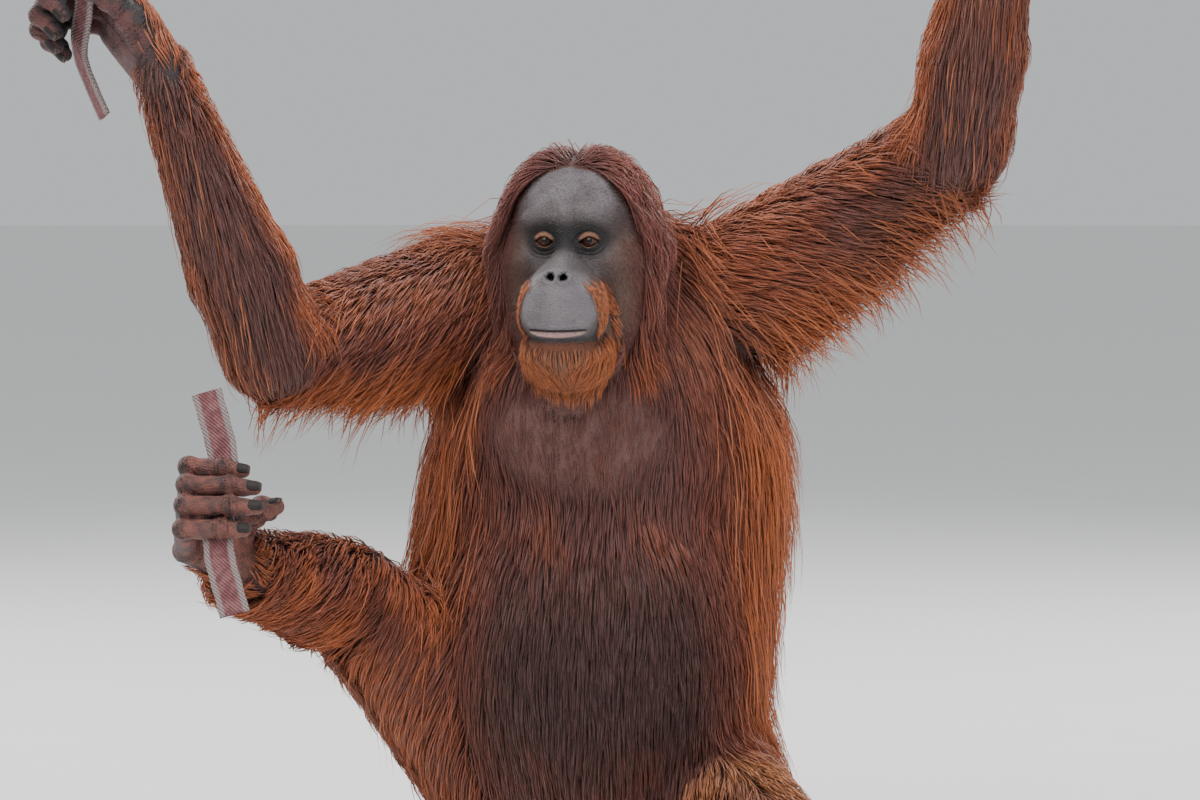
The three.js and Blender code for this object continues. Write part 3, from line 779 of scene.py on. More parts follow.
def skin_tones(p, n):
    """Colour, shine and depth of the fine wrinkles of the skin at points p with normals n."""
    tone = np.tile(UNDER_COAT, (len(p), 1))
    shine = np.full(len(p), 0.25)
    wrinkle = np.full(len(p), 0.5)
    tone = toward(tone, THROAT_SKIN, throat_fold(p))
    q = to_head(p)
    x, y, z = q.T
    on_head = near_head(p) & (shares[PARTS.index("head")] < 0.012)
    depth = face_depth(q) + 0.003 * wobble(p, 0.03, 3)
    bare = on_head * smooth(depth, -0.004, 0.006)
    tone = toward(tone, FACE_GREY, bare)
    forehead = bare * smooth(z, 0.016, 0.045)
    tone = toward(tone, FOREHEAD_GREY, forehead * (0.7 + 0.3 * wobble(p, 0.02, 4)))
    cheek = smooth(np.abs(x), 0.036, 0.056) * smooth(0.02 - z, 0, 0.03)
    tone = toward(tone, CHEEK_BROWN, bare * cheek)
    shine += bare * 0.25 * ridge(x, 0, 0.03) * smooth(z, 0.012, 0.03)
    ring = jaw_ring(x, z)
    jaw = smooth(ring, 0.90, 1.0) * smooth(1.3 - ring, 0, 0.2)
    jaw = jaw * smooth(-0.034 - z, 0, 0.014) * (y < 0.045)
    tone = toward(tone, CHIN_BROWN, bare * jaw * 0.85)
    m = np.hypot(x / 0.040, (z + 0.064) / 0.036)
    muzzle = smooth(1.12 - m, 0, 0.25) * (y < -0.015)
    tone = toward(tone, MUZZLE_GREY, bare * muzzle)
    bridge = ridge(x, 0, 0.010) * smooth(-z, 0.004, 0.02) * smooth(z + 0.05, 0, 0.02)
    tone = toward(tone, MUZZLE_GREY, bare * bridge * 0.7)
    for s in (-1, 1):
        ex, ez = s * x - EYE_PLACE[0], z - EYE_PLACE[2]
        # Dark skin round the eye, darkened further as painted shade in the recess under the brow
        socket = np.hypot((ex + 0.004) / 0.0245, (ez - 0.004) / 0.0180)
        tone = toward(tone, DARK_SKIN_AND_SHADE, bare * smooth(1.3 - socket, 0, 0.7) * 0.96)
        bag = smooth(-ez, 0.010, 0.015) * smooth(0.026 + ez, 0, 0.01)
        bag = bag * smooth(0.022 - np.abs(ex), 0, 0.01)
        tone = toward(tone, FACE_GREY, bare * bag * 0.6)
        d = opening(q, s)
        lid = smooth(0.0058 - d, 0, 0.0026) * smooth(0.0115 - np.abs(ex), 0, 0.004)
        lid = lid * smooth(ez, 0.0005, 0.003)
        tone = toward(tone, LID_TAN, on_head * lid * (y < 0.004) * (ez < 0.012) * 0.85)
        low_rim = smooth(0.0012 - d, 0, 0.0010) * smooth(0.0095 - np.abs(ex), 0, 0.003) * (ez <= 0)
        tone = toward(tone, LID_TAN * 0.7, on_head * low_rim * (ez > -0.009) * (y < 0.004) * 0.7)
        shine += on_head * 0.3 * smooth(0.004 - d, 0, 0.004)
        # Painted shade inside the nostrils
        hole = smooth(0.0058 - np.hypot(s * x - 0.0056, z + 0.0365), 0, 0.0015)
        tone = toward(tone, DARK_SKIN_AND_SHADE * 0.3, on_head * hole * (y > -0.064) * (y < -0.03))
    # Dark skin and painted shade in the hollow between the eyes
    between = ridge(x, 0, 0.009) * ridge(z, 0.004, 0.009)
    tone = toward(tone, DARK_SKIN_AND_SHADE, bare * between * 0.75)
    line = z - mouth_line(x)
    wide = smooth(MOUTH_HALF - 0.001 - np.abs(x), 0, 0.004)
    chin = smooth(-line, 0.004, 0.009) * (y < 0.02)
    chin_width = smooth(0.046 - np.abs(x), 0, 0.012)
    tone = toward(tone, LOWER_LIP, on_head * chin * chin_width)
    bristles = smooth(-line, 0.0095, 0.015) * (y < 0.02)
    tone = toward(tone, CHIN_BROWN, on_head * bristles * chin_width)
    thick = 0.0074 * np.sqrt(np.clip(1 - (x / 0.0315) ** 2, 0, 1))
    lip = smooth(-line, 0.0006, 0.0016) * smooth(line + thick, 0, 0.0016) * wide * (y < -0.03)
    tone = toward(tone, LIP_PINK, on_head * lip)
    shine += on_head * lip * 0.35 + bare * muzzle * 0.12
    # Painted shade in the slit between the lips
    slit = ridge(line, -0.0002, 0.0009) * wide * (y < -0.03)
    tone = toward(tone, DARK_SKIN_AND_SHADE, on_head * slit)
    wrinkle = np.where(on_head, 0.55 - 0.35 * muzzle * bare, wrinkle)
    for side in SIDES:
        for name in ("hand", "foot"):
            lie = paws[name][side]
            back_tone, pad_tone = PAW_TONES[f"{name}_{side}"]
            near = smooth(0.010 - shares[PARTS.index(f"{name}_{side}")], 0, 0.008)
            past_wrist = smooth((p - lie.origin) @ lie.f, -0.004, 0.03)
            inner = n @ lie.s
            if name == "foot" and side == "right":
                spread = 0.45 + 0.40 * wobble(p, 0.013, 5) + inner * 0.45
            else:
                spread = smooth(inner, -0.1, 0.6) + 0.15 * wobble(p, 0.012, 6)
            tone = toward(tone, back_tone, near)
            tone = toward(tone, pad_tone, near * np.clip(spread, 0, 1) * (0.25 + 0.65 * past_wrist))
            shine = np.where(near > 0.5, 0.45, shine)
            wrinkle = np.where(near > 0.5, 1.0, wrinkle)
    return tone, np.clip(shine, 0, 1), wrinkle


def creases(p):
    """Folds across the joints of the digits and over the palms and soles, from 0 to 1."""
    deep = np.zeros(len(p))
    for _, places, backs, ways, radii, part in digits:
        near = np.nonzero(shares[PARTS.index(part)] < 0.006)[0]
        for i in (0, 1, 2):
            v = p[near] - places[i]
            close = np.linalg.norm(v, axis=1) < radii[i] * MM * 1.9
            way = unit(ways[i] + ways[i - 1]) if i else ways[0]
            along = v @ way
            out = v @ backs[i]
            folds = ridge(along, 0, 0.0010) + 0.8 * ridge(np.abs(along), 0.0038, 0.0008)
            folds = folds + 0.6 * ridge(np.abs(along), 0.0072, 0.0007) * (out > 0)
            deep[near] = np.maximum(deep[near], close * np.clip(folds, 0, 1))
    for side in SIDES:
        for lie, part in ((hand[side], f"hand_{side}"), (foot[side], f"foot_{side}")):
            v = p - lie.origin
            a, b, c = v @ lie.f, v @ lie.s, v @ lie.across
            palm = (shares[PARTS.index(part)] < 0.006) & (b > 0)
            lines = ridge(a - 0.3 * c, 0.068, 0.0009) + ridge(a + 0.5 * c, 0.050, 0.0009)
            lines = lines + ridge(a, 0.084, 0.0007) + ridge(c - 0.012 + 0.3 * (a - 0.03), 0, 0.0009)
            wrist = ridge(a, 0.002, 0.0008) + ridge(a, -0.005, 0.0008) + ridge(a, 0.009, 0.0007)
            palm_lines = palm * np.clip(lines * (a > 0.01) * (a < 0.1) + wrist, 0, 1)
            deep = np.maximum(deep, palm_lines)
    return deep


n = normals_of(skin.data)
tone, shine, wrinkle = skin_tones(p, n)
put(skin.data, "tone", "FLOAT_COLOR", tone)
put(skin.data, "shine", "FLOAT", shine)
put(skin.data, "wrinkle", "FLOAT", wrinkle)
put(skin.data, "crease", "FLOAT", creases(p))


# Materials, written as expressions
class Value:
    """A node socket. Operators add Math nodes, and scaled() and parts() act on vectors."""

    def __init__(self, finish, socket):
        self.finish, self.socket = finish, socket

    def math(self, operation, a, b=0.0):
        return self.finish.node("ShaderNodeMath", {"operation": operation}, {0: a, 1: b})

    def __add__(self, other):
        return self.math("ADD", self, other)

    def __sub__(self, other):
        return self.math("SUBTRACT", self, other)

    def __rsub__(self, other):
        return self.math("SUBTRACT", other, self)

    def __mul__(self, other):
        return self.math("MULTIPLY", self, other)

    def __pow__(self, other):
        return self.math("POWER", self, other)

    __radd__ = __add__
    __rmul__ = __mul__

    def sine(self):
        return self.math("SINE", self)

    def size(self):
        return self.math("ABSOLUTE", self)

    def band(self, low, high):
        """0 below low, 1 above high, smooth between."""
        settings = {"interpolation_type": "SMOOTHSTEP"}
        return self.finish.node("ShaderNodeMapRange", settings, {0: self, 1: low, 2: high})

    def scaled(self, factors):
        settings = {"operation": "MULTIPLY"}
        return self.finish.node("ShaderNodeVectorMath", settings, {0: self, 1: factors})

    def parts(self):
        """The three numbers of a vector."""
        split = self.finish.node("ShaderNodeSeparateXYZ", {}, {0: self}).socket.node
        return [Value(self.finish, socket) for socket in split.outputs]


class Finish:
    """A procedural material."""

    def __init__(self, name):
        self.material = bpy.data.materials.new(name)
        self.material.use_nodes = True
        self.tree = self.material.node_tree
        self.shader = self.tree.nodes["Principled BSDF"]

    def node(self, kind, settings=None, inputs=None, output=0):
        made = self.tree.nodes.new(kind)
        for key, value in (settings or {}).items():
            setattr(made, key, value)
        for key, value in (inputs or {}).items():
            self.join(value, made.inputs[key])
        return Value(self, made.outputs[output])

    def join(self, value, socket):
        if isinstance(value, Value):
            self.tree.links.new(value.socket, socket)
        elif hasattr(value, "__len__") and len(value) == 3 and socket.type == "RGBA":
            socket.default_value = (*value, 1)
        else:
            socket.default_value = value

    def place(self):
        return self.node("ShaderNodeTexCoord", output="Object")

    def attribute(self, name, output="Fac"):
        return self.node("ShaderNodeAttribute", {"attribute_name": name}, output=output)

    def noise(self, at, scale, detail=3.0, rough=0.55):
        inputs = {"Vector": at, "Scale": scale, "Detail": detail, "Roughness": rough}
        return self.node("ShaderNodeTexNoise", {}, inputs)

    def cells(self, at, scale):
        return self.node("ShaderNodeTexVoronoi", {}, {"Vector": at, "Scale": scale})

    def mix(self, a, b, share):
        settings = {"data_type": "RGBA"}
        return self.node("ShaderNodeMix", settings, {0: share, 6: a, 7: b}, output=2)

    def tinted(self, a, b, share):
        """Colour a, multiplied by b as far as share says."""
        settings = {"data_type": "RGBA", "blend_type": "MULTIPLY"}
        return self.node("ShaderNodeMix", settings, {0: share, 6: a, 7: b}, output=2)

    def bump(self, height, distance, strength=1.0, onto=None):
        inputs = {"Height": height, "Distance": distance, "Strength": strength}
        if onto is not None:
            inputs["Normal"] = onto
        return self.node("ShaderNodeBump", {}, inputs)

    def done(self, **sockets):
        for key, value in sockets.items():
            self.join(value, self.shader.inputs[key.replace("_", " ")])
        return self.material


def skin_finish():
    f = Finish("bare_skin")
    at = f.place()
    mottle = f.noise(at, 45, 5)
    pores = f.cells(at, 700)
    fine = f.noise(at.scaled((1, 1, 1.7)), 430, 5)
    lines = f.noise(at.scaled((1, 1, 2.6)), 330, 3)
    tone = f.attribute("tone", "Color")
    wrinkle = f.attribute("wrinkle")
    crease = f.attribute("crease")
    base = f.tinted(tone, (0.62, 0.60, 0.62), (1 - mottle.band(0.3, 0.7)) * 0.6)
    # Painted shade in the creases of the digits, palms and soles
    base = f.tinted(base, (0.35, 0.30, 0.30), crease * 0.85)
    base = f.tinted(base, (1.55, 1.46, 1.42), fine.band(0.50, 0.70) * 0.6)
    base = f.tinted(base, (0.55, 0.52, 0.52), (1 - fine.band(0.30, 0.48)) * 0.6)
    relief = pores * -0.35 + fine * 0.9 + lines * wrinkle * 0.8
    rough = 0.62 - f.attribute("shine") * 0.28 + mottle * 0.12
    folds = f.bump((1 - crease) + lines * wrinkle * 0.25, 0.0032, 0.9)
    return f.done(Base_Color=base, Roughness=rough, Normal=f.bump(relief, 0.0026, 0.9, folds))


def coat_finish(name, streak=1.0):
    f = Finish(name)
    strand = f.attribute("strand", "Vector")
    hairs = f.noise(strand.scaled((3.6 * streak, 0.04, 1)), 1.0, 3)
    locks = f.noise(strand.scaled((0.7, 0.02, 1)), 1.0, 2)
    tone = f.attribute("tone", "Color")
    base = f.tinted(tone, (0.50, 0.44, 0.42), (1 - hairs.band(0.32, 0.62)) * 0.7)
    base = f.tinted(base, (1.5, 1.35, 1.2), locks.band(0.5, 0.8) * 0.5)
    bump = f.bump(hairs, 0.0005, 0.8)
    return f.done(
        Base_Color=base,
        Roughness=0.40 + hairs * 0.25,
        Normal=bump,
        Sheen_Weight=0.30,
        Sheen_Roughness=0.45,
        Sheen_Tint=(1.0, 0.72, 0.66, 1),
    )


def eye_finish():
    """Dark brown iris with spokes, black pupil, brown white of the eye, wet all over."""
    f = Finish("eye")
    at = f.attribute("ball", "Vector")
    x, _, z = at.parts()
    r = (x * x + z * z) ** 0.5
    angle = z.math("ARCTAN2", z, x)
    around = f.node("ShaderNodeCombineXYZ", {}, {0: angle * 2.2, 1: r * 0.22, 2: 0.0})
    spokes = f.noise(around, 3.2, 4)
    vein = f.noise(at, 0.35, 4)
    white = f.mix(colour(92, 60, 46), colour(50, 30, 24), vein.band(0.4, 0.6))
    iris = f.mix(colour(44, 24, 16), colour(84, 48, 28), spokes.band(0.35, 0.7))
    iris = f.mix(iris, colour(30, 16, 10), r.band(4.6, 6.2))
    base = f.mix(iris, white, r.band(6.1, 6.9))
    base = f.mix(colour(5, 4, 4), base, r.band(2.9, 3.5))
    return f.done(
        Base_Color=base,
        Roughness=0.32 + vein * 0.05,
        Coat_Weight=1.0,
        Coat_Roughness=0.02,
        Coat_IOR=1.33,
        Specular_IOR_Level=0.12,
    )


def nail_finish():
    f = Finish("nail")
    along = f.attribute("plate", "Vector")
    ridges = f.noise(along.scaled((1.6, 0.06, 1)), 1.0, 3)
    growth = f.noise(along.scaled((0.1, 0.7, 1)), 1.0, 2)
    base = f.mix(colour(18, 15, 16), colour(50, 41, 40), ridges.band(0.35, 0.7))
    base = f.mix(base, colour(92, 78, 70), f.attribute("edge").band(0.8, 1.0) * 0.6)
    bump = f.bump(ridges + growth * 0.5, 0.0005, 0.7)
    return f.done(Base_Color=base, Roughness=0.50 + growth * 0.2, Specular_IOR_Level=0.3, Normal=bump)


def webbing_finish():
    """Woven band: dull rose middle, pale grey margins, a twill of slanting ribs, rubbed and dusty."""
    f = Finish("webbing")
    at = f.attribute("weave", "Vector")
    across, along, _ = at.parts()
    twill = ((across * 1.9 + along * 1.35).sine() + 1) * 0.5
    picks = ((along * 2.6 - across * 0.6).sine() + 1) * 0.5
    rib = twill * 0.7 + picks * 0.3
    wear = f.noise(at, 0.12, 5)
    grit = f.noise(at, 1.6, 4)
    margin = (across.size() + grit * 2.0).band(8.6, 11.0)
    base = f.mix(colour(122, 72, 76), colour(150, 100, 102), wear.band(0.38, 0.65))
    base = f.mix(base, colour(160, 150, 149), margin * 0.8)
    base = f.tinted(base, (0.36, 0.32, 0.32), (1 - rib.band(0.15, 0.6)) * 0.8)
    base = f.mix(base, colour(172, 160, 152), grit.band(0.62, 0.78) * 0.5)
    bump = f.bump(rib + grit * 0.4, 0.0012, 1.0)
    return f.done(Base_Color=base, Roughness=0.78 + grit * 0.15, Normal=bump)


SKIN = skin_finish()
COAT = coat_finish("coat")
FACE_HAIR = coat_finish("face_hair", 2.0)
EYE = eye_finish()
NAIL = nail_finish()
WEBBING = webbing_finish()

skin.data.materials.append(SKIN)
kept_nodes = ("eye_", "strap_")
flesh = [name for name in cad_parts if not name.startswith(kept_nodes)]
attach(skin, "root")
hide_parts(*flesh)


# Eyes: a ball with the cornea standing out of it, looking a little towards the viewer
def eye_ball(side):
    s = 1 if side == "left" else -1
    rings, around = 40, 48
    angle = np.linspace(0, math.pi, rings)
    r = EYE_R + 0.0011 * np.exp(-((angle / 0.42) ** 4))
    turn = np.arange(around) * 2 * math.pi / around
    a, t = np.meshgrid(angle[1:-1], turn, indexing="ij")
    rr = np.broadcast_to(r[1:-1, None], a.shape)
    local = np.stack([rr * np.sin(a) * np.cos(t), -rr * np.cos(a), rr * np.sin(a) * np.sin(t)], axis=-1)
    local = np.concatenate([local.reshape(-1, 3), [[0, -r[0], 0], [0, r[-1], 0]]])
    faces = []
    last = rings - 3
    for i in range(last):
        for k in range(around):
            m = (k + 1) % around
            faces.append((i * around + k, i * around + m, (i + 1) * around + m, (i + 1) * around + k))
    front, back = len(local) - 2, len(local) - 1
    for k in range(around):
        m = (k + 1) % around
        faces.append((front, m, k))
        faces.append((back, last * around + k, last * around + m))
    mesh = bpy.data.meshes.new(f"eye_{side}_ball")
    mesh.from_pydata(local.tolist(), [], faces)
    yaw, pitch = math.radians(-2.5 * s + 3), math.radians(-3)
    turn_z = np.array([
        [math.cos(yaw), math.sin(yaw), 0],
        [-math.sin(yaw), math.cos(yaw), 0],
        [0, 0, 1],
    ])
    turn_x = np.array([
        [1, 0, 0],
        [0, math.cos(pitch), math.sin(pitch)],
        [0, -math.sin(pitch), math.cos(pitch)],
    ])
    put(mesh, "ball", "FLOAT_VECTOR", local * 1000)
    placed = from_head(EYE_PLACE * V(s, 1, 1) + local @ turn_x @ turn_z)
    mesh.vertices.foreach_set("co", placed.astype(np.float32).ravel())
    mesh.polygons.foreach_set("use_smooth", np.ones(len(mesh.polygons), bool))
    face_outward(mesh)
    made = bpy.data.objects.new(f"eye_{side}_ball", mesh)
    bpy.context.collection.objects.link(made)
    made.data.materials.append(EYE)
    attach(made, "root")
    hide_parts(f"eye_{side}")


for side in SIDES:
    eye_ball(side)


def closed_sheet(outer, inner):
    """Faces of a closed slab from two equal grids of points."""
    rows, cols = outer.shape[:2]
    places = np.concatenate([outer.reshape(-1, 3), inner.reshape(-1, 3)])
    top = np.arange(rows * cols).reshape(rows, cols)
    low = top + rows * cols
    quads = []
    for grid, flip in ((top, False), (low, True)):
        ring = [grid[:-1, :-1], grid[:-1, 1:], grid[1:, 1:], grid[1:, :-1]]
        quad = np.stack([g.ravel() for g in ring], axis=1)
        quads.append(quad[:, ::-1] if flip else quad)
    rim = np.concatenate([top[0, :-1], top[:-1, -1], top[-1, :0:-1], top[:0:-1, 0]])
    low_rim = rim + rows * cols
    nxt, low_nxt = np.roll(rim, -1), np.roll(low_rim, -1)
    quads.append(np.stack([rim, low_rim, low_nxt, nxt], axis=1))
    return places, np.concatenate(quads)


# Nails, one plate on the back of each digit's tip
def nail(name, places, backs, ways, radii):
    """Places, faces, plate coordinates and nearness to the free edge of one nail."""
    a, b = places[2], places[3]
    way, back = ways[2], backs[2]
    side_way = np.cross(way, back)
    bone = np.linalg.norm(b - a)
    r0, r1 = radii[2] * MM, radii[3] * MM
    w = np.linspace(0, 1, 15)[:, None]
    u = np.linspace(-1, 1, 15)[None, :]
    start, end = 0.50 * bone, bone + r1 * (0.97 - 0.25 * u**2)
    along = start + 0.0012 * (u**2) + (end - start) * w
    r = r0 + (r1 - r0) * np.clip(along / bone, 0, 1)
    past = np.clip(along - bone, 0, None)
    r = np.sqrt(np.maximum(r**2 - 0.55 * past**2, (0.35 * r) ** 2))
    half = math.radians(50) * (1 - 0.15 * w)
    angle = half * u
    lift = 0.0004 + 0.0005 * w - 0.0012 * (1 - w) ** 4 - 0.0004 * u**4

    def grid_at(extra):
        d = r + lift + extra
        out = d[..., None] * (np.cos(angle)[..., None] * back + np.sin(angle)[..., None] * side_way)
        return a + along[..., None] * way + out

    sheet, quads = closed_sheet(grid_at(0.0), grid_at(-0.0011))
    key = np.full_like(r, len(name))  # gives each kind of digit its own grain
    plate = np.stack(np.broadcast_arrays(u * half * r * 1000, along * 1000, key), axis=-1)
    edge = np.broadcast_to(w, r.shape)
    return sheet, quads, np.tile(plate.reshape(-1, 3), (2, 1)), np.tile(edge.ravel(), 2)


def joined(name, parts, material):
    """One object of several closed pieces, with their plate coordinates."""
    places, quads, plates, edges, count = [], [], [], [], 0
    for piece_places, piece_quads, plate, edge in parts:
        places.append(piece_places)
        quads.append(piece_quads + count)
        plates.append(plate)
        edges.append(edge)
        count += len(piece_places)
    made = mesh_from(name, np.concatenate(places), np.concatenate(quads))
    put(made.data, "plate", "FLOAT_VECTOR", np.concatenate(plates))
    put(made.data, "edge", "FLOAT", np.concatenate(edges))
    face_outward(made.data)
    made.data.materials.append(material)
    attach(made, "root")


for part in ("hand_right", "hand_left", "foot_right", "foot_left"):
    plates = [nail(*row[:5]) for row in digits if row[5] == part]
    joined(f"nails_{part}", plates, NAIL)


# Straps: a woven band that runs across the grip and turns to hang at either side of it
STRAP_AT = {
    "right_hand": (hand["right"], 88, 40, 0, V(-0.4, 0.1, 0.9)),
    "left_hand": (hand["left"], 88, 40, 0, V(0.36, 0.1, 0.93)),
    "right_foot": (foot["right"], 124, 57, 115, V(-0.27, 0.1, 0.96)),
}


GRIP_HALF, TAIL_LONG, CORNER_BEND = 0.048, 0.0655, 0.022
STRAP_HALF, STRAP_THICK = 0.0145, 0.0021


def strap(name):
    lie, along, out, turn, hang = STRAP_AT[name]
    centre = lie.at(along, out, 0)
    angle = math.radians(turn)
    broad = math.cos(angle) * lie.f + math.sin(angle) * lie.s
    way = unit(hang) * np.sign(hang @ lie.across)
    corners = [
        centre - GRIP_HALF * lie.across - TAIL_LONG * way,
        centre - GRIP_HALF * lie.across,
        centre + GRIP_HALF * lie.across,
        centre + GRIP_HALF * lie.across + TAIL_LONG * way,
    ]
    path = [corners[0]]
    for i in (1, 2):
        a, b, c = corners[i - 1], corners[i], corners[i + 1]
        for t in np.linspace(0, 1, 9):
            first = b + unit(a - b) * CORNER_BEND * (1 - t)
            second = b + unit(c - b) * CORNER_BEND * t
            path.append(first * (1 - t) + second * t)
    path.append(corners[3])
    path = np.array(path)
    steps = np.linalg.norm(np.diff(path, axis=0), axis=1)
    travel = np.concatenate([[0], np.cumsum(steps)])
    at = np.linspace(0, travel[-1], 90)
    line = np.stack([np.interp(at, travel, path[:, i]) for i in range(3)], axis=1)
    tangent = unit(np.gradient(line, axis=0))
    wide = unit(broad - (tangent @ broad)[:, None] * tangent)
    deep = np.cross(tangent, wide)
    u = np.linspace(-1, 1, 25)
    half = STRAP_HALF + 0.0003 * np.sin(at * 260)[:, None]
    thick = STRAP_THICK * (1 - np.abs(u) ** 10 * 0.55) + 0.0004 * (np.abs(u) > 0.62)
    sag = 0.0006 * np.sin(at * 90)[:, None] * np.cos(u * 1.3)
    middle = line[:, None] + wide[:, None] * (u * half)[..., None] + deep[:, None] * sag[..., None]
    top = middle + deep[:, None] * thick[None, :, None]
    low = middle - deep[:, None] * thick[None, :, None]
    places, quads = closed_sheet(top, low)
    made = mesh_from(f"webbing_{name}", places, quads)
    flat = np.zeros((len(at), len(u)))
    weave = np.stack(np.broadcast_arrays(u[None] * 14.5, at[:, None] * 1000, flat), axis=-1)
    weave = weave.reshape(-1, 3)
    put(made.data, "weave", "FLOAT_VECTOR", np.concatenate([weave, weave + V(0, 3, 40)]))
    face_outward(made.data)
    made.data.materials.append(WEBBING)
    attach(made, "root")
    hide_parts(f"strap_{name}")


for name in STRAP_AT:
    strap(name)


# The coat: solid tapered tufts that grow from the skin and follow its lie
DOWN = V(0, 0, -1)


def at_grid(p):
    """The skin's distance at points p, read from the grid."""
    g = (p - LOW) / VOXEL
    i = np.clip(np.floor(g).astype(int), 0, COUNT - 2)
    t = np.clip(g - i, 0, 1)
    total = 0
    for dx in (0, 1):
        for dy in (0, 1):
            for dz in (0, 1):
                share = (
                    (t[:, 0] if dx else 1 - t[:, 0])
                    * (t[:, 1] if dy else 1 - t[:, 1])
                    * (t[:, 2] if dz else 1 - t[:, 2])
                )
                total = total + share * field[i[:, 0] + dx, i[:, 1] + dy, i[:, 2] + dz]
    return total


def out_of_skin(p):
    g = np.empty_like(p)
    for i in range(3):
        step = np.zeros(3)
        step[i] = 0.003
        g[:, i] = at_grid(p + step) - at_grid(p - step)
    return unit(g)


def in_plane(d, n):
    return unit(d - 0.92 * (d * n).sum(axis=1, keepdims=True) * n)


skin.data.calc_loop_triangles()
tris = np.empty(len(skin.data.loop_triangles) * 3, np.int32)
skin.data.loop_triangles.foreach_get("vertices", tris)
tris = tris.reshape(-1, 3)
corner = p[tris]
across_tri = np.cross(corner[:, 1] - corner[:, 0], corner[:, 2] - corner[:, 0])
tri_area = np.linalg.norm(across_tri, axis=1) / 2
tri_part = nearest[tris[:, 0]]
tri_mid = corner.mean(axis=1)
tri_out = n[tris].mean(axis=1)
part_group = np.array([name.replace("_right", "").replace("_left", "") for name in PARTS])
on_head_tri = tri_part == PARTS.index("head")
tri_q = to_head(tri_mid)
tri_face = face_depth(tri_q)

# Tufts over each part of the body, set against the trunk's
LONG_DENSITY = {
    "trunk": 1.0,
    "neck": 1.2,
    "head": 2.5,
    "upper_arm": 1.25,
    "forearm": 1.5,
    "thigh": 1.1,
    "shank": 1.4,
}
COAT_TUFTS = 70000
WISP_TUFTS = 7200
PAW_TUFTS = 3800
BEARD_TUFTS = 4600
FACE_TUFTS = 7500
MOST_TRIANGLES = 195000  # in one piece of the coat

# Where the unwrap of each upright part starts, and how tall it is
UNWRAP_FROM = {
    "trunk": (V(0, 0.01, -0.02), 0.76),
    "neck": (V(0, 0, 0.45), 0.32),
    "head": (V(-0.03, -0.09, 0.5), 0.32),
}


def bare_paw(p, side, name):
    """How bare the skin of a hand or foot is: 1 on the palm, sole and digits, 0 on the hairy back."""
    lie = paws[name][side]
    v = p - lie.origin
    along, out = v @ lie.f, v @ lie.s
    palm = smooth(out, 0.002, 0.010) * smooth(along, -0.01, 0.012)
    return np.clip(smooth(along, 0.050, 0.078) + palm, 0, 1)


def place_roots(weight, count):
    """Spreads count roots over the skin's triangles by weight."""
    total = np.cumsum(weight)
    at = (np.arange(count) + rng.random(count)) / count * total[-1]
    t = np.searchsorted(total, at)
    a, b = rng.random(count), rng.random(count)
    flip = a + b > 1
    a[flip], b[flip] = 1 - a[flip], 1 - b[flip]
    c = corner[t]
    root = c[:, 0] + a[:, None] * (c[:, 1] - c[:, 0]) + b[:, None] * (c[:, 2] - c[:, 0])
    return root, tri_out[t], tri_part[t]


def unwrap(root, part):
    """Places of the roots on an unwrap of the skin: round and along each limb, trunk and head."""
    uv = np.empty((len(root), 2))
    for i, name in enumerate(PARTS):
        chosen = part == i
        if not chosen.any():
            continue
        v = root[chosen]
        side = name.rsplit("_", 1)[-1]
        kind = part_group[i]
        if kind in ("hand", "foot"):
            lie = paws[kind][side]
            start, way, first, long = lie.at(-60, 0, 0), lie.f, lie.across, 0.34
        elif kind in ("trunk", "neck", "head"):
            start, long = UNWRAP_FROM[kind]
            way, first = V(0, 0, 1), V(1, 0, 0)
        else:
            a, b = (joint[side][end] for end in BONE_ENDS[kind])
            way = unit(b - a)
            start, long = a - 0.1 * way, np.linalg.norm(b - a) + 0.2
            first = unit(np.cross(way, V(0, 1, 0.2)))
        second = np.cross(way, first)
        w = v - start
        uv[chosen, 0] = np.arctan2(w @ second, w @ first) / (2 * math.pi) + 0.5
        uv[chosen, 1] = (w @ way) / long
    return np.clip(uv, 0.004, 0.996)


DARK = (colour(80, 40, 37), colour(122, 62, 55))
MIDDLE = (colour(96, 45, 33), colour(150, 72, 44))
ORANGE = (colour(134, 62, 32), colour(216, 114, 52))
TAN = (colour(140, 80, 46), colour(206, 146, 90))
HOOD = (colour(80, 37, 34), colour(150, 78, 66))
BEARD = (colour(150, 78, 42), colour(216, 124, 62))
# Painted light: lighter hair tips where the coat faces up and on the sides of the hood, standing in for
# the light that falls there
PAINTED_LIGHT_TIP = colour(204, 128, 98)
# How far the painted shadow under the chest darkens the belly's red, green and blue
BELLY_PAINTED_SHADOW = V(0.66, 0.80, 0.82)
# Tip of the fringe wisps: orange hair, made brighter as a painted glow of light from behind
WISP_TIP = colour(226, 126, 58)
WHISKER = (colour(96, 62, 48), colour(150, 132, 120))
CHEEK_DOWN = (colour(74, 58, 54), colour(130, 98, 82))
BROW_DOWN = (colour(76, 70, 72), colour(92, 84, 86))


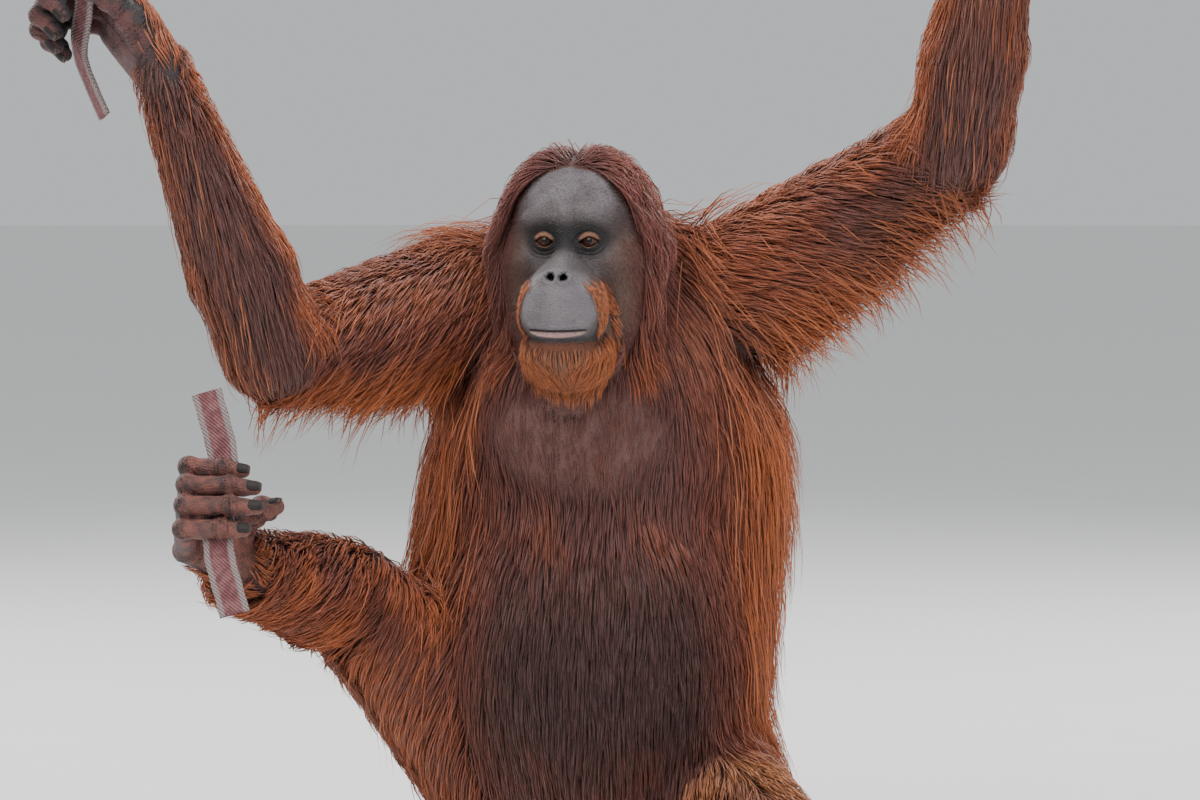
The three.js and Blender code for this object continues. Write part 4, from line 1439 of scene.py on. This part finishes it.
def groom(p, n, part):
    """Length, way, hang, depth, width and the two colours of the tuft that grows at each root."""
    count = len(p)
    length = np.full(count, 0.06)
    flow = np.tile(DOWN, (count, 1)).astype(float)
    hang = np.full(count, 0.25)
    depth = np.full(count, 0.016)
    width = np.full(count, 0.0019)
    root_tone = np.tile(DARK[0], (count, 1))
    tip_tone = np.tile(DARK[1], (count, 1))

    def dye(chosen, pair, share):
        root_tone[chosen] = toward(root_tone[chosen], pair[0], share)
        tip_tone[chosen] = toward(tip_tone[chosen], pair[1], share)

    drift = wobble(p, 0.09, 11)
    for i, name in enumerate(PARTS):
        c = np.nonzero(part == i)[0]
        if not len(c):
            continue
        side = name.rsplit("_", 1)[-1]
        kind = part_group[i]
        v, m = p[c], n[c]
        if kind in ("trunk", "neck"):
            x, y, z = v[:, 0], v[:, 1] - 0.012, v[:, 2]
            around = np.abs(np.arctan2(x, -y))
            flank = smooth(around, 0.75, 1.45)
            back = smooth(around, 1.7, 2.4)
            high = smooth(z, 0.54, 0.62)
            length[c] = 0.056 + 0.058 * flank - 0.018 * back + 0.01 * high
            length[c] *= 1 - 0.35 * smooth(0.10 - z, 0, 0.1)
            sway = np.where(x > 0, 0.30, -0.16) * flank + 0.10 * drift[c]
            flow[c] = np.stack([sway + np.sign(x) * high * 0.7 * smooth(np.abs(x), 0.03, 0.1),
                                np.full(len(c), -0.04), -1 + 0.3 * high], axis=1)
            hang[c] = 0.12 + 0.62 * flank * (1 - back)
            depth[c] = 0.009 + 0.019 * flank - 0.003 * back + 0.010 * flank * (x > 0) * (1 - back)
            depth[c] *= 1 - 0.45 * flank * smooth(0.34 - z, 0, 0.14)
            # Painted shadow on the belly below the overhanging chest
            shadow = smooth(z, 0.12, 0.22) * smooth(0.42 - z, 0, 0.13) * (1 - flank)
            root_tone[c] *= 1 - np.outer(shadow, BELLY_PAINTED_SHADOW)
            tip_tone[c] *= 1 - np.outer(shadow, BELLY_PAINTED_SHADOW)
            orange = flank * 0.95 + 0.22 * drift[c] * (1 - shadow) - 0.45 * back + 0.35 * high * flank
            dye(c, MIDDLE, smooth(around, 0.45, 1.0) * (1 - high * 0.4))
            dye(c, ORANGE, np.clip(orange, 0, 1))
            # Painted top light: tips lighter where the coat over the shoulders faces up
            painted_top_light = smooth(z, 0.50, 0.60) * smooth(m[:, 2], 0.0, 0.7)
            tip_tone[c] = toward(tip_tone[c], PAINTED_LIGHT_TIP, painted_top_light * 0.6)
            throat = smooth(z, 0.40, 0.5) * (1 - flank)
            width[c] = 0.0018 + 0.0004 * back - 0.0003 * throat
            bib = throat_fold(v)
            length[c] *= 1 - 0.55 * bib
            depth[c] *= 1 - 0.72 * bib
            width[c] *= 1 - 0.3 * bib
            if kind == "neck":
                length[c] = 0.045
                depth[c] = 0.012
        elif kind == "head":
            q = to_head(v)
            hx, hy, hz = q.T
            top = smooth(hz, 0.02, 0.075)
            aside = np.sign(hx + 0.003 * drift[c]) * (0.30 + 0.75 * top)
            lean = -0.55 * smooth(hz, 0.02, 0.08) * smooth(0.10 - hy, 0, 0.05)
            lean = lean + 0.35 * smooth(hy, 0.06, 0.12)
            way = np.stack([aside, lean, -1 + 0.35 * top], axis=1)
            crest = ridge(hx, 0, 0.020) * smooth(hz, 0.045, 0.07)
            way = way * (1 - 0.75 * crest)[:, None] + crest[:, None] * V(0, 0.8, 0.0)
            flow[c] = way @ HEAD_AXES
            rim = smooth(face_depth(q), -0.035, -0.004)
            length[c] = 0.054 - 0.006 * top + 0.020 * smooth(-hz, 0.0, 0.06)
            depth[c] = 0.015 + 0.009 * rim * (1 - top) + 0.001 * top
            hang[c] = 0.2 * (1 - smooth(hz, 0.04, 0.07))
            width[c] = 0.0016
            dye(c, HOOD, np.ones(len(c)))
            # Painted light on the sides of the hood
            tip_tone[c] = toward(tip_tone[c], PAINTED_LIGHT_TIP, 0.3 * smooth(np.abs(hx), 0.055, 0.095))
            low = smooth(-hz, 0.02, 0.09) * rim
            dye(c, MIDDLE, np.clip(low * 0.9 + 0.2 * drift[c], 0, 1))
            dye(c, ORANGE, np.clip(low * 0.35 + 0.15 * drift[c], 0, 1))
        elif kind in ("upper_arm", "forearm"):
            first_end = "shoulder" if kind == "upper_arm" else "wrist"
            a, b = joint[side][first_end], joint[side]["elbow"]  # the hair runs to the elbow
            bone = unit(b - a)
            t = np.clip((v - a) @ bone / np.linalg.norm(b - a), 0, 1)
            under = smooth(-m[:, 2], -0.2, 0.7)
            over = smooth(m[:, 2], 0.1, 0.8)
            if kind == "upper_arm":
                length[c] = 0.054 + under * 0.022 * (0.4 + rng.random(len(c)) ** 2 * 2.2)
                flow[c] = bone * 0.9 + DOWN * 0.4 + np.outer(under, DOWN) * 0.15
                hang[c] = 0.15 + 0.6 * under * rng.random(len(c))
                depth[c] = 0.014 + 0.002 * under
                dye(c, MIDDLE, np.full(len(c), 0.55) + 0.3 * drift[c])
                edge = np.clip(under + over * 0.7 + 0.3 * drift[c] - 0.32, 0, 1)
                if side == "left":
                    edge = np.clip(edge + 0.5 * smooth(0.55 - t, 0, 0.4), 0, 1)
                dye(c, ORANGE, edge)
                # Painted top light: tips lighter where the upper arm faces up
                tip_tone[c] = toward(tip_tone[c], PAINTED_LIGHT_TIP, over * smooth(0.9 - t, 0, 0.4) * 0.6)
                if side == "left":
                    shaded = smooth(-m[:, 1], 0.3, 0.9) * smooth(t, 0.3, 0.6)
                    shaded = shaded * smooth(0.4 - m[:, 2], 0, 0.5)
                    root_tone[c] *= 1 - 0.40 * shaded[:, None]
                    tip_tone[c] *= 1 - 0.42 * shaded[:, None]
                bend = smooth(t, 0.78, 1.0)
                flow[c] = flow[c] * (1 - 0.5 * bend)[:, None] + 0.6 * np.outer(bend, DOWN)
                length[c] *= 1 - 0.3 * bend
            else:
                length[c] = 0.018 + 0.046 * smooth(t, 0.0, 0.5)
                outer = smooth(m @ unit(V(-1 if side == "right" else 1, 0.3, 0)), 0.0, 0.8)
                length[c] += 0.010 * t - 0.022 * smooth(t, 0.85, 1.0)
                flow[c] = bone * 0.9 + DOWN * 0.35
                hang[c] = 0.12 + 0.1 * smooth(t, 0.75, 1.0)
                depth[c] = 0.008 + 0.007 * smooth(t, 0.1, 0.7)
                dye(c, MIDDLE, np.full(len(c), 0.15) + 0.25 * drift[c])
                root_tone[c] *= 0.74
                tip_tone[c] *= 0.78
                inner = smooth(m @ unit(V(1 if side == "right" else -1, 0.35, 0)), 0.35, 0.95)
                dye(c, ORANGE, np.clip(inner + outer * 0.35 + 0.15 * drift[c], 0, 1))
                width[c] = 0.0018
        elif kind in ("thigh", "shank"):
            a, b = (joint[side][end] for end in BONE_ENDS[kind])
            bone = unit(b - a)
            t = np.clip((v - a) @ bone / np.linalg.norm(b - a), 0, 1)
            under = smooth(-m[:, 2], -0.2, 0.7)
            flow[c] = bone * (0.35 if kind == "thigh" else 0.85) + DOWN * 0.6
            length[c] = (0.060 if kind == "thigh" else 0.046) + 0.018 * under
            length[c] -= 0.012 * t * (kind == "shank")
            hang[c] = 0.2 + 0.4 * under
            depth[c] = 0.014 if kind == "thigh" else 0.011
            width[c] = 0.0019 if kind == "thigh" else 0.0018
            dye(c, MIDDLE, np.full(len(c), 0.9))
            dye(c, ORANGE, np.clip(0.35 + 0.4 * drift[c] + 0.3 * under, 0, 1))
            if side == "left" and kind == "thigh":
                dye(c, TAN, np.full(len(c), 0.45) + 0.3 * drift[c])
    return length, flow, hang, depth, width, root_tone, tip_tone


def comb(root, out, length, flow, hang, depth, points, curl=0.10, clump=0.42, lift=0.0):
    """Paths of the tufts: they lie along the body at their own depth, and hang where they are free."""
    count = len(root)
    path = np.empty((count, points, 3))
    path[:, 0] = root - out * 0.0015
    level = 0.12 + 0.88 * rng.random(count) ** 0.8
    high = depth * level
    stray = rng.normal(size=(count, 3)) * curl * (0.4 + 0.6 * (depth / 0.02))[:, None]
    way = unit(in_plane(flow, out) + stray + out * (0.25 + 0.35 * level + lift)[:, None])
    at = path[:, 0].copy()
    pull = np.clip(hang, 0, 1)[:, None]
    step = (length / (points - 1))[:, None]
    for k in range(1, points):
        s = k / (points - 1)
        normal = out_of_skin(at)
        way = way + 0.45 * pull * DOWN + 0.05 * DOWN + 0.3 * in_plane(flow, normal) * (1 - pull)
        if k > 1:
            outward = np.maximum((way * normal).sum(axis=1, keepdims=True), 0)
            way -= 0.6 * outward * normal * (1 - 0.6 * pull)
        way = unit(way)
        new = at + way * step
        distance = at_grid(new)
        normal = out_of_skin(new)
        rise = high * min(1.0, s * 1.5) + 0.0008
        shift = np.where(distance < rise, rise - distance, 0)
        shift -= np.where(distance > rise, distance - rise, 0) * (1 - pull[:, 0]) * 0.85
        shift = np.clip(shift, -0.02, 0.03)
        new = new + normal * shift[:, None]
        new[:, 2] = np.maximum(new[:, 2], 0.004)
        way = unit(0.6 * way + 0.4 * unit(new - at))
        at = new
        path[:, k] = new
    if clump:
        guides = rng.permutation(count)[: max(count // 11, 1)]
        tree = KDTree(len(guides))
        for i, g in enumerate(guides):
            tree.insert(root[g], i)
        tree.balance()
        lead = np.array([guides[tree.find(r)[1]] for r in root])
        close = np.linalg.norm(root - root[lead], axis=1) < 0.03
        for k in range(1, points):
            s = k / (points - 1)
            gather = clump * s**1.4 * close[:, None]
            path[:, k] += (path[lead, k] - path[:, k]) * gather
    return path


def clear_of_face(path):
    """Keeps the ends of the hood's tufts beside the bare face."""
    flat = path.reshape(-1, 3)
    near = np.nonzero(near_head(flat))[0]
    q = to_head(flat[near])
    inside = face_depth(q) + 0.004
    hit = (inside > 0) & (q[:, 1] < 0.05)
    away = unit(q[hit] * V(1, 0, 1) + V(0, 0, 0.02))
    q[hit] += away * inside[hit][:, None]
    flat[near] = from_head(q)
    return flat.reshape(path.shape)


def tuft_mesh(name, path, out, width, tones, uv, material, slot):
    """Closed three-sided tufts along the paths, in one mesh."""
    count, points = path.shape[:2]
    rings = points - 1
    tangent = unit(np.gradient(path, axis=1))
    aside = unit(np.cross(tangent, out[:, None]))
    up = np.cross(aside, tangent)
    roll = rng.normal(size=(count, 1, 1)) * 0.35
    aside, up = aside * np.cos(roll) + up * np.sin(roll), up * np.cos(roll) - aside * np.sin(roll)
    s = np.linspace(0, 1, points)
    profile = np.interp(s, [0, 0.25, 0.6, 0.85, 1], [0.7, 1.0, 0.85, 0.5, 0.15])
    places = np.empty((count, rings * 3 + 1, 3))
    strand = np.empty_like(places)
    shares = np.empty((count, rings * 3 + 1))
    patch = np.empty((count, rings * 3 + 1, 2))
    key = rng.random(count) * 900
    long = np.linalg.norm(np.diff(path, axis=1), axis=2).sum(axis=1) * 1000
    for i in range(rings):
        w = (width * profile[i] / 2)[:, None]
        for j in range(3):
            angle = math.pi / 2 + j * 2 * math.pi / 3
            x, y = math.cos(angle), math.sin(angle)
            at = i * 3 + j
            places[:, at] = path[:, i] + aside[:, i] * w * x * 1.1 + up[:, i] * w * y * 0.55
            strand[:, at, 0] = w[:, 0] * 1000 * (x * 1.6 + y * 0.6) + key
            strand[:, at, 1] = s[i] * long
            strand[:, at, 2] = key * 0.37
            shares[:, at] = s[i]
            patch[:, at] = uv + np.array([x * 0.0014, (s[i] - 0.5) * 0.0028])
    places[:, -1] = path[:, -1]
    strand[:, -1] = np.stack([key, long, key * 0.37], axis=1)
    shares[:, -1] = 1
    patch[:, -1] = uv + np.array([0, 0.0014])
    one = [[0, 2, 1]]
    for i in range(rings - 1):
        for j in range(3):
            a, b = i * 3 + j, i * 3 + (j + 1) % 3
            one += [[a, b, b + 3], [a, b + 3, a + 3]]
    last = (rings - 1) * 3
    one += [[last + j, last + (j + 1) % 3, rings * 3] for j in range(3)]
    faces = (np.array(one)[None] + (np.arange(count) * (rings * 3 + 1))[:, None, None]).reshape(-1, 3)
    made = mesh_from(name, places.reshape(-1, 3), faces)
    root_tone, tip_tone = tones
    shade = (0.84 + 0.32 * rng.random(count))[:, None, None]
    blend_share = (shares**1.3)[..., None]
    tone = (root_tone[:, None] * (1 - blend_share) + tip_tone[:, None] * blend_share) * shade
    put(made.data, "tone", "FLOAT_COLOR", tone.reshape(-1, 3))
    put(made.data, "strand", "FLOAT_VECTOR", strand.reshape(-1, 3))
    layer = made.data.uv_layers.new(name="OFBake")
    loops = np.empty(len(made.data.loops), np.int32)
    made.data.loops.foreach_get("vertex_index", loops)
    layer.data.foreach_set("uv", patch.reshape(-1, 2)[loops].astype(np.float32).ravel())
    made.data.materials.append(material)
    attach(made, "root")


def grow(prefix, root, out, part, groomed, points, material, slot, **ways):
    """Combs the tufts and makes them in pieces, by part of the body and by side."""
    length, flow, hang, depth, width, root_tone, tip_tone = groomed
    length = length * (0.72 + 0.45 * rng.random(len(root)))
    width = width * (0.75 + 0.5 * rng.random(len(root)))
    path = clear_of_face(comb(root, out, length, flow, hang, depth, points, **ways))
    uv = unwrap(root, part)
    triangles = 6 * (points - 2) + 4  # in one tuft
    names = part_group[part] if prefix == "coat" else np.array([prefix] * len(root))
    sided = np.where(root[:, 0] < 0, "right", "left")
    for kind in sorted(set(names)):
        for side in SIDES:
            chosen = np.nonzero((names == kind) & (sided == side))[0]
            if not len(chosen):
                continue
            pieces = int(np.ceil(len(chosen) * triangles / MOST_TRIANGLES))
            order = chosen[np.argsort(uv[chosen, 0], kind="stable")]
            for k, some in enumerate(np.array_split(order, pieces)):
                label = f"{'coat_' if prefix == 'coat' else ''}{kind}_{side}_{k}"
                tones = (root_tone[some], tip_tone[some])
                lies = (path[some], out[some], width[some])
                tuft_mesh(label, *lies, tones, uv[some], material, slot)


# Long coat
weight = tri_area * np.array([LONG_DENSITY.get(kind, 0) for kind in part_group])[tri_part]
weight = weight * np.where(on_head_tri, smooth(-tri_face, -0.001, 0.004), 1)
weight = weight * (tri_mid[:, 2] > 0.006)
weight = weight * (1 - 0.62 * throat_fold(tri_mid))
for side in SIDES:
    wrist = np.linalg.norm(tri_mid - joint[side]["wrist"], axis=1)
    bare_wrist = smooth(0.055 - wrist, 0, 0.05) * smooth(tri_out @ hand[side].s, -0.2, 0.5)
    weight = weight * (1 - 0.9 * bare_wrist)
seen = smooth(-tri_out[:, 1], -0.3, 0.4)
weight = weight * (0.62 + 0.55 * seen)
root, out, part = place_roots(weight, COAT_TUFTS)
grow("coat", root, out, part, groom(root, out, part), 4, COAT, "coat")

# Long thin wisps that stand clear along the flanks, shoulders, elbows and undersides
around = np.abs(np.arctan2(tri_mid[:, 0], -(tri_mid[:, 1] - 0.012)))
flank = smooth(around, 0.8, 1.3) * smooth(2.5 - around, 0, 0.6)
below = smooth(-tri_out[:, 2], 0.1, 0.7)
limb_share = np.isin(part_group, ["upper_arm", "forearm", "thigh", "shank"])[tri_part]
trunk_share = (part_group == "trunk")[tri_part]
weight = trunk_share * flank * 2.2 + limb_share * (below + 0.15) * 0.8
armpit = np.zeros(len(tris))
for side in SIDES:
    bone = joint[side]["elbow"] - joint[side]["shoulder"]
    t = (tri_mid - joint[side]["shoulder"]) @ bone / (bone @ bone)
    this_arm = (part_group[tri_part] == "upper_arm") * (tri_mid[:, 0] * bone[0] > 0)
    armpit += below * smooth(0.8 - t, 0, 0.3) * this_arm
weight = tri_area * (weight + 2.4 * armpit) * (tri_mid[:, 2] > 0.03)
root, out, part = place_roots(weight, WISP_TUFTS)
length, flow, hang, depth, width, root_tone, tip_tone = groom(root, out, part)
on_trunk = (part_group == "trunk")[part]
fringe = (part_group == "upper_arm")[part] * smooth(-out[:, 2], 0.1, 0.6)
length = np.where(on_trunk, 0.148, 0.062 + 0.03 * rng.random(len(root)) + 0.022 * fringe)
hang = np.where(on_trunk, 0.8, 0.6 + 0.3 * fringe) * (0.6 + 0.4 * rng.random(len(root)))
lift = np.where(on_trunk, 0.5 + 0.8 * rng.random(len(root)), 0.3 * rng.random(len(root)))
# Orange hair on the fringe, partly a painted glow of light from behind
bright = np.full(len(root), 0.8)
wisps = (
    length, flow, hang, depth * 1.25, np.full(len(root), 0.0014),
    toward(root_tone, ORANGE[0], bright), toward(tip_tone, WISP_TIP, bright),
)
grow("wisps", root, out, part, wisps, 5, COAT, "coat", curl=0.2, clump=0.3, lift=lift)

# Short hair on the backs of the hands and feet
weight = np.zeros(len(tris))
for side in SIDES:
    for name in ("hand", "foot"):
        chosen = tri_part == PARTS.index(f"{name}_{side}")
        weight[chosen] = tri_area[chosen] * (1 - bare_paw(tri_mid[chosen], side, name))
        lie = paws[name][side]
        away = np.linalg.norm(tri_mid - lie.origin, axis=1)
        limb = tri_part == PARTS.index(f"{'forearm' if name == 'hand' else 'shank'}_{side}")
        weight += tri_area * limb * (away < 0.045) * smooth(-(tri_out @ lie.s), -0.2, 0.4)
root, out, part = place_roots(weight, PAW_TUFTS)
flow = np.empty_like(root)
for side in SIDES:
    for name, limb in (("hand", "forearm"), ("foot", "shank")):
        lie = paws[name][side]
        flow[part == PARTS.index(f"{name}_{side}")] = lie.f
        flow[part == PARTS.index(f"{limb}_{side}")] = lie.f
count = len(root)
paw_hair = (
    np.full(count, 0.025), flow, np.full(count, 0.1), np.full(count, 0.004), np.full(count, 0.0013),
    np.tile(MIDDLE[0], (count, 1)), np.tile(ORANGE[1], (count, 1)),
)
grow("hair_paw", root, out, part, paw_hair, 4, COAT, "coat")

# Beard along the jaw and up the sides of the muzzle, whiskers on the chin, short hair on the cheeks
hx, hy, hz = tri_q.T
ring_at = jaw_ring(hx, hz)
beard_reach = 1.16 + 0.34 * smooth(-hz, 0.085, 0.12)
beard_zone = smooth(ring_at, 0.84, 0.98) * smooth(beard_reach - ring_at, 0, 0.16)
beard_zone = beard_zone * smooth(-0.036 - hz, 0, 0.014) * (hy < 0.045)
chin_zone = smooth(-0.1005 - hz, 0, 0.004) * (ring_at < 0.95) * (hy < 0.02)
weight = tri_area * on_head_tri * (beard_zone * 1.3 + chin_zone) * (tri_face > -0.02)
root, out, part = place_roots(weight, BEARD_TUFTS)
q = to_head(root)
ring_q = jaw_ring(q[:, 0], q[:, 2])
low = smooth(-q[:, 2], 0.07, 0.125)
whisker = smooth(0.93 - ring_q, 0, 0.08)
aside = 0.5 * np.sign(q[:, 0]) * (1 - low) + q[:, 0] * 6
way = np.stack([aside, -0.15 - 0.2 * low, -0.6 - 0.6 * low], axis=1)
count = len(root)
root_tone = toward(np.tile(BEARD[0], (count, 1)), WHISKER[0], whisker * 0.7)
grey = whisker * (rng.random(count) < 0.2)
tip_tone = toward(np.tile(BEARD[1], (count, 1)), WHISKER[1], grey)
beard = (
    0.0075 + 0.017 * low - 0.003 * whisker, way @ HEAD_AXES, 0.05 + 0.3 * low,
    0.0016 + 0.008 * low, np.full(count, 0.0010), root_tone, tip_tone,
)


def grow_face(prefix, root, out, part, groomed, points, clump):
    """Tufts that start inside the face, so they aren't moved aside."""
    length, flow, hang, depth, width, root_tone, tip_tone = groomed
    length = length * (0.7 + 0.6 * rng.random(len(root)))
    path = comb(root, out, length, flow, hang, depth, points, 0.16, clump)
    uv = unwrap(root, part)
    tuft_mesh(prefix, path, out, width, (root_tone, tip_tone), uv, FACE_HAIR, "coat")


grow_face("beard", root, out, part, beard, 4, 0.35)

cheek_zone = smooth(np.abs(hx), 0.024, 0.046) * smooth(0.03 - hz, 0, 0.05) * (ring_at > 0.95)
brow_zone = 0.25 * smooth(hz, 0.004, 0.02)
weight = tri_area * on_head_tri * (tri_face > -0.006) * (cheek_zone + brow_zone) * (hy < 0.05)
socket_near = np.hypot((np.abs(hx) - EYE_PLACE[0]) / 0.024, (hz - EYE_PLACE[2]) / 0.018) < 1
weight = weight * ~socket_near
root, out, part = place_roots(weight, FACE_TUFTS)
q = to_head(root)
up_face = smooth(q[:, 2], 0.0, 0.03)
edge = smooth(0.022 - face_depth(q), 0, 0.02)
count = len(root)
aside = np.sign(q[:, 0]) * (0.5 + 0.3 * up_face)
way = np.stack([aside, np.full(count, 0.35), -0.8 + 1.2 * up_face], axis=1)
on_brow = up_face * (1 - edge)
root_tone = toward(np.tile(CHEEK_DOWN[0], (count, 1)), DARK[0], edge)
tip_tone = toward(np.tile(CHEEK_DOWN[1], (count, 1)), HOOD[1], edge)
root_tone = toward(root_tone, BROW_DOWN[0], on_brow)
tip_tone = toward(tip_tone, BROW_DOWN[1], on_brow)
cheeks = (
    0.0068 + 0.007 * edge - 0.0040 * up_face * (1 - edge), way @ HEAD_AXES, np.zeros(count),
    0.0006 + 0.0016 * edge, 0.00066 - 0.00028 * up_face, root_tone, tip_tone,
)
grow_face("face_down", root, out, part, cheeks, 3, 0.0)


# Floor and light
def floor():
    b = bmesh.new()
    bmesh.ops.create_circle(b, cap_ends=True, segments=96, radius=30)
    mesh = bpy.data.meshes.new("floor")
    b.to_mesh(mesh)
    b.free()
    made = bpy.data.objects.new("floor", mesh)
    bpy.context.collection.objects.link(made)
    f = Finish("pale_floor")
    grain = f.noise(f.place(), 6, 4)
    base = f.mix((0.84, 0.84, 0.83), (0.88, 0.88, 0.87), grain)
    made.data.materials.append(f.done(Base_Color=base, Roughness=0.7 + grain * 0.1))


def lamp(name, place, target, size, power, tint=(1, 1, 1)):
    data = bpy.data.lights.new(name, "AREA")
    data.size = size
    data.energy = power
    data.color = tint
    made = bpy.data.objects.new(name, data)
    bpy.context.collection.objects.link(made)
    made.location = place
    made.rotation_euler = (Vector(target) - Vector(place)).to_track_quat("-Z", "Y").to_euler()


floor()
lamp("key", (-1.6, -3.6, 3.4), (0, 0, 0.6), 2.4, 120, (1.0, 0.98, 0.95))
lamp("top", (0.1, -1.0, 3.6), (0, 0, 0.6), 2.2, 85, (1.0, 0.99, 0.97))
lamp("fill", (3.2, -3.0, 1.6), (0, 0, 0.6), 3.0, 30, (0.93, 0.96, 1.0))
lamp("rim_right", (2.4, 2.8, 2.6), (0, 0, 0.7), 1.6, 110)
lamp("rim_left", (-2.6, 2.6, 2.4), (0, 0, 0.7), 1.6, 90)
world = bpy.data.worlds.new("studio")
world.use_nodes = True
background = world.node_tree.nodes["Background"].inputs
background["Color"].default_value = (0.82, 0.84, 0.86, 1)
background["Strength"].default_value = 0.70
bpy.context.scene.world = world
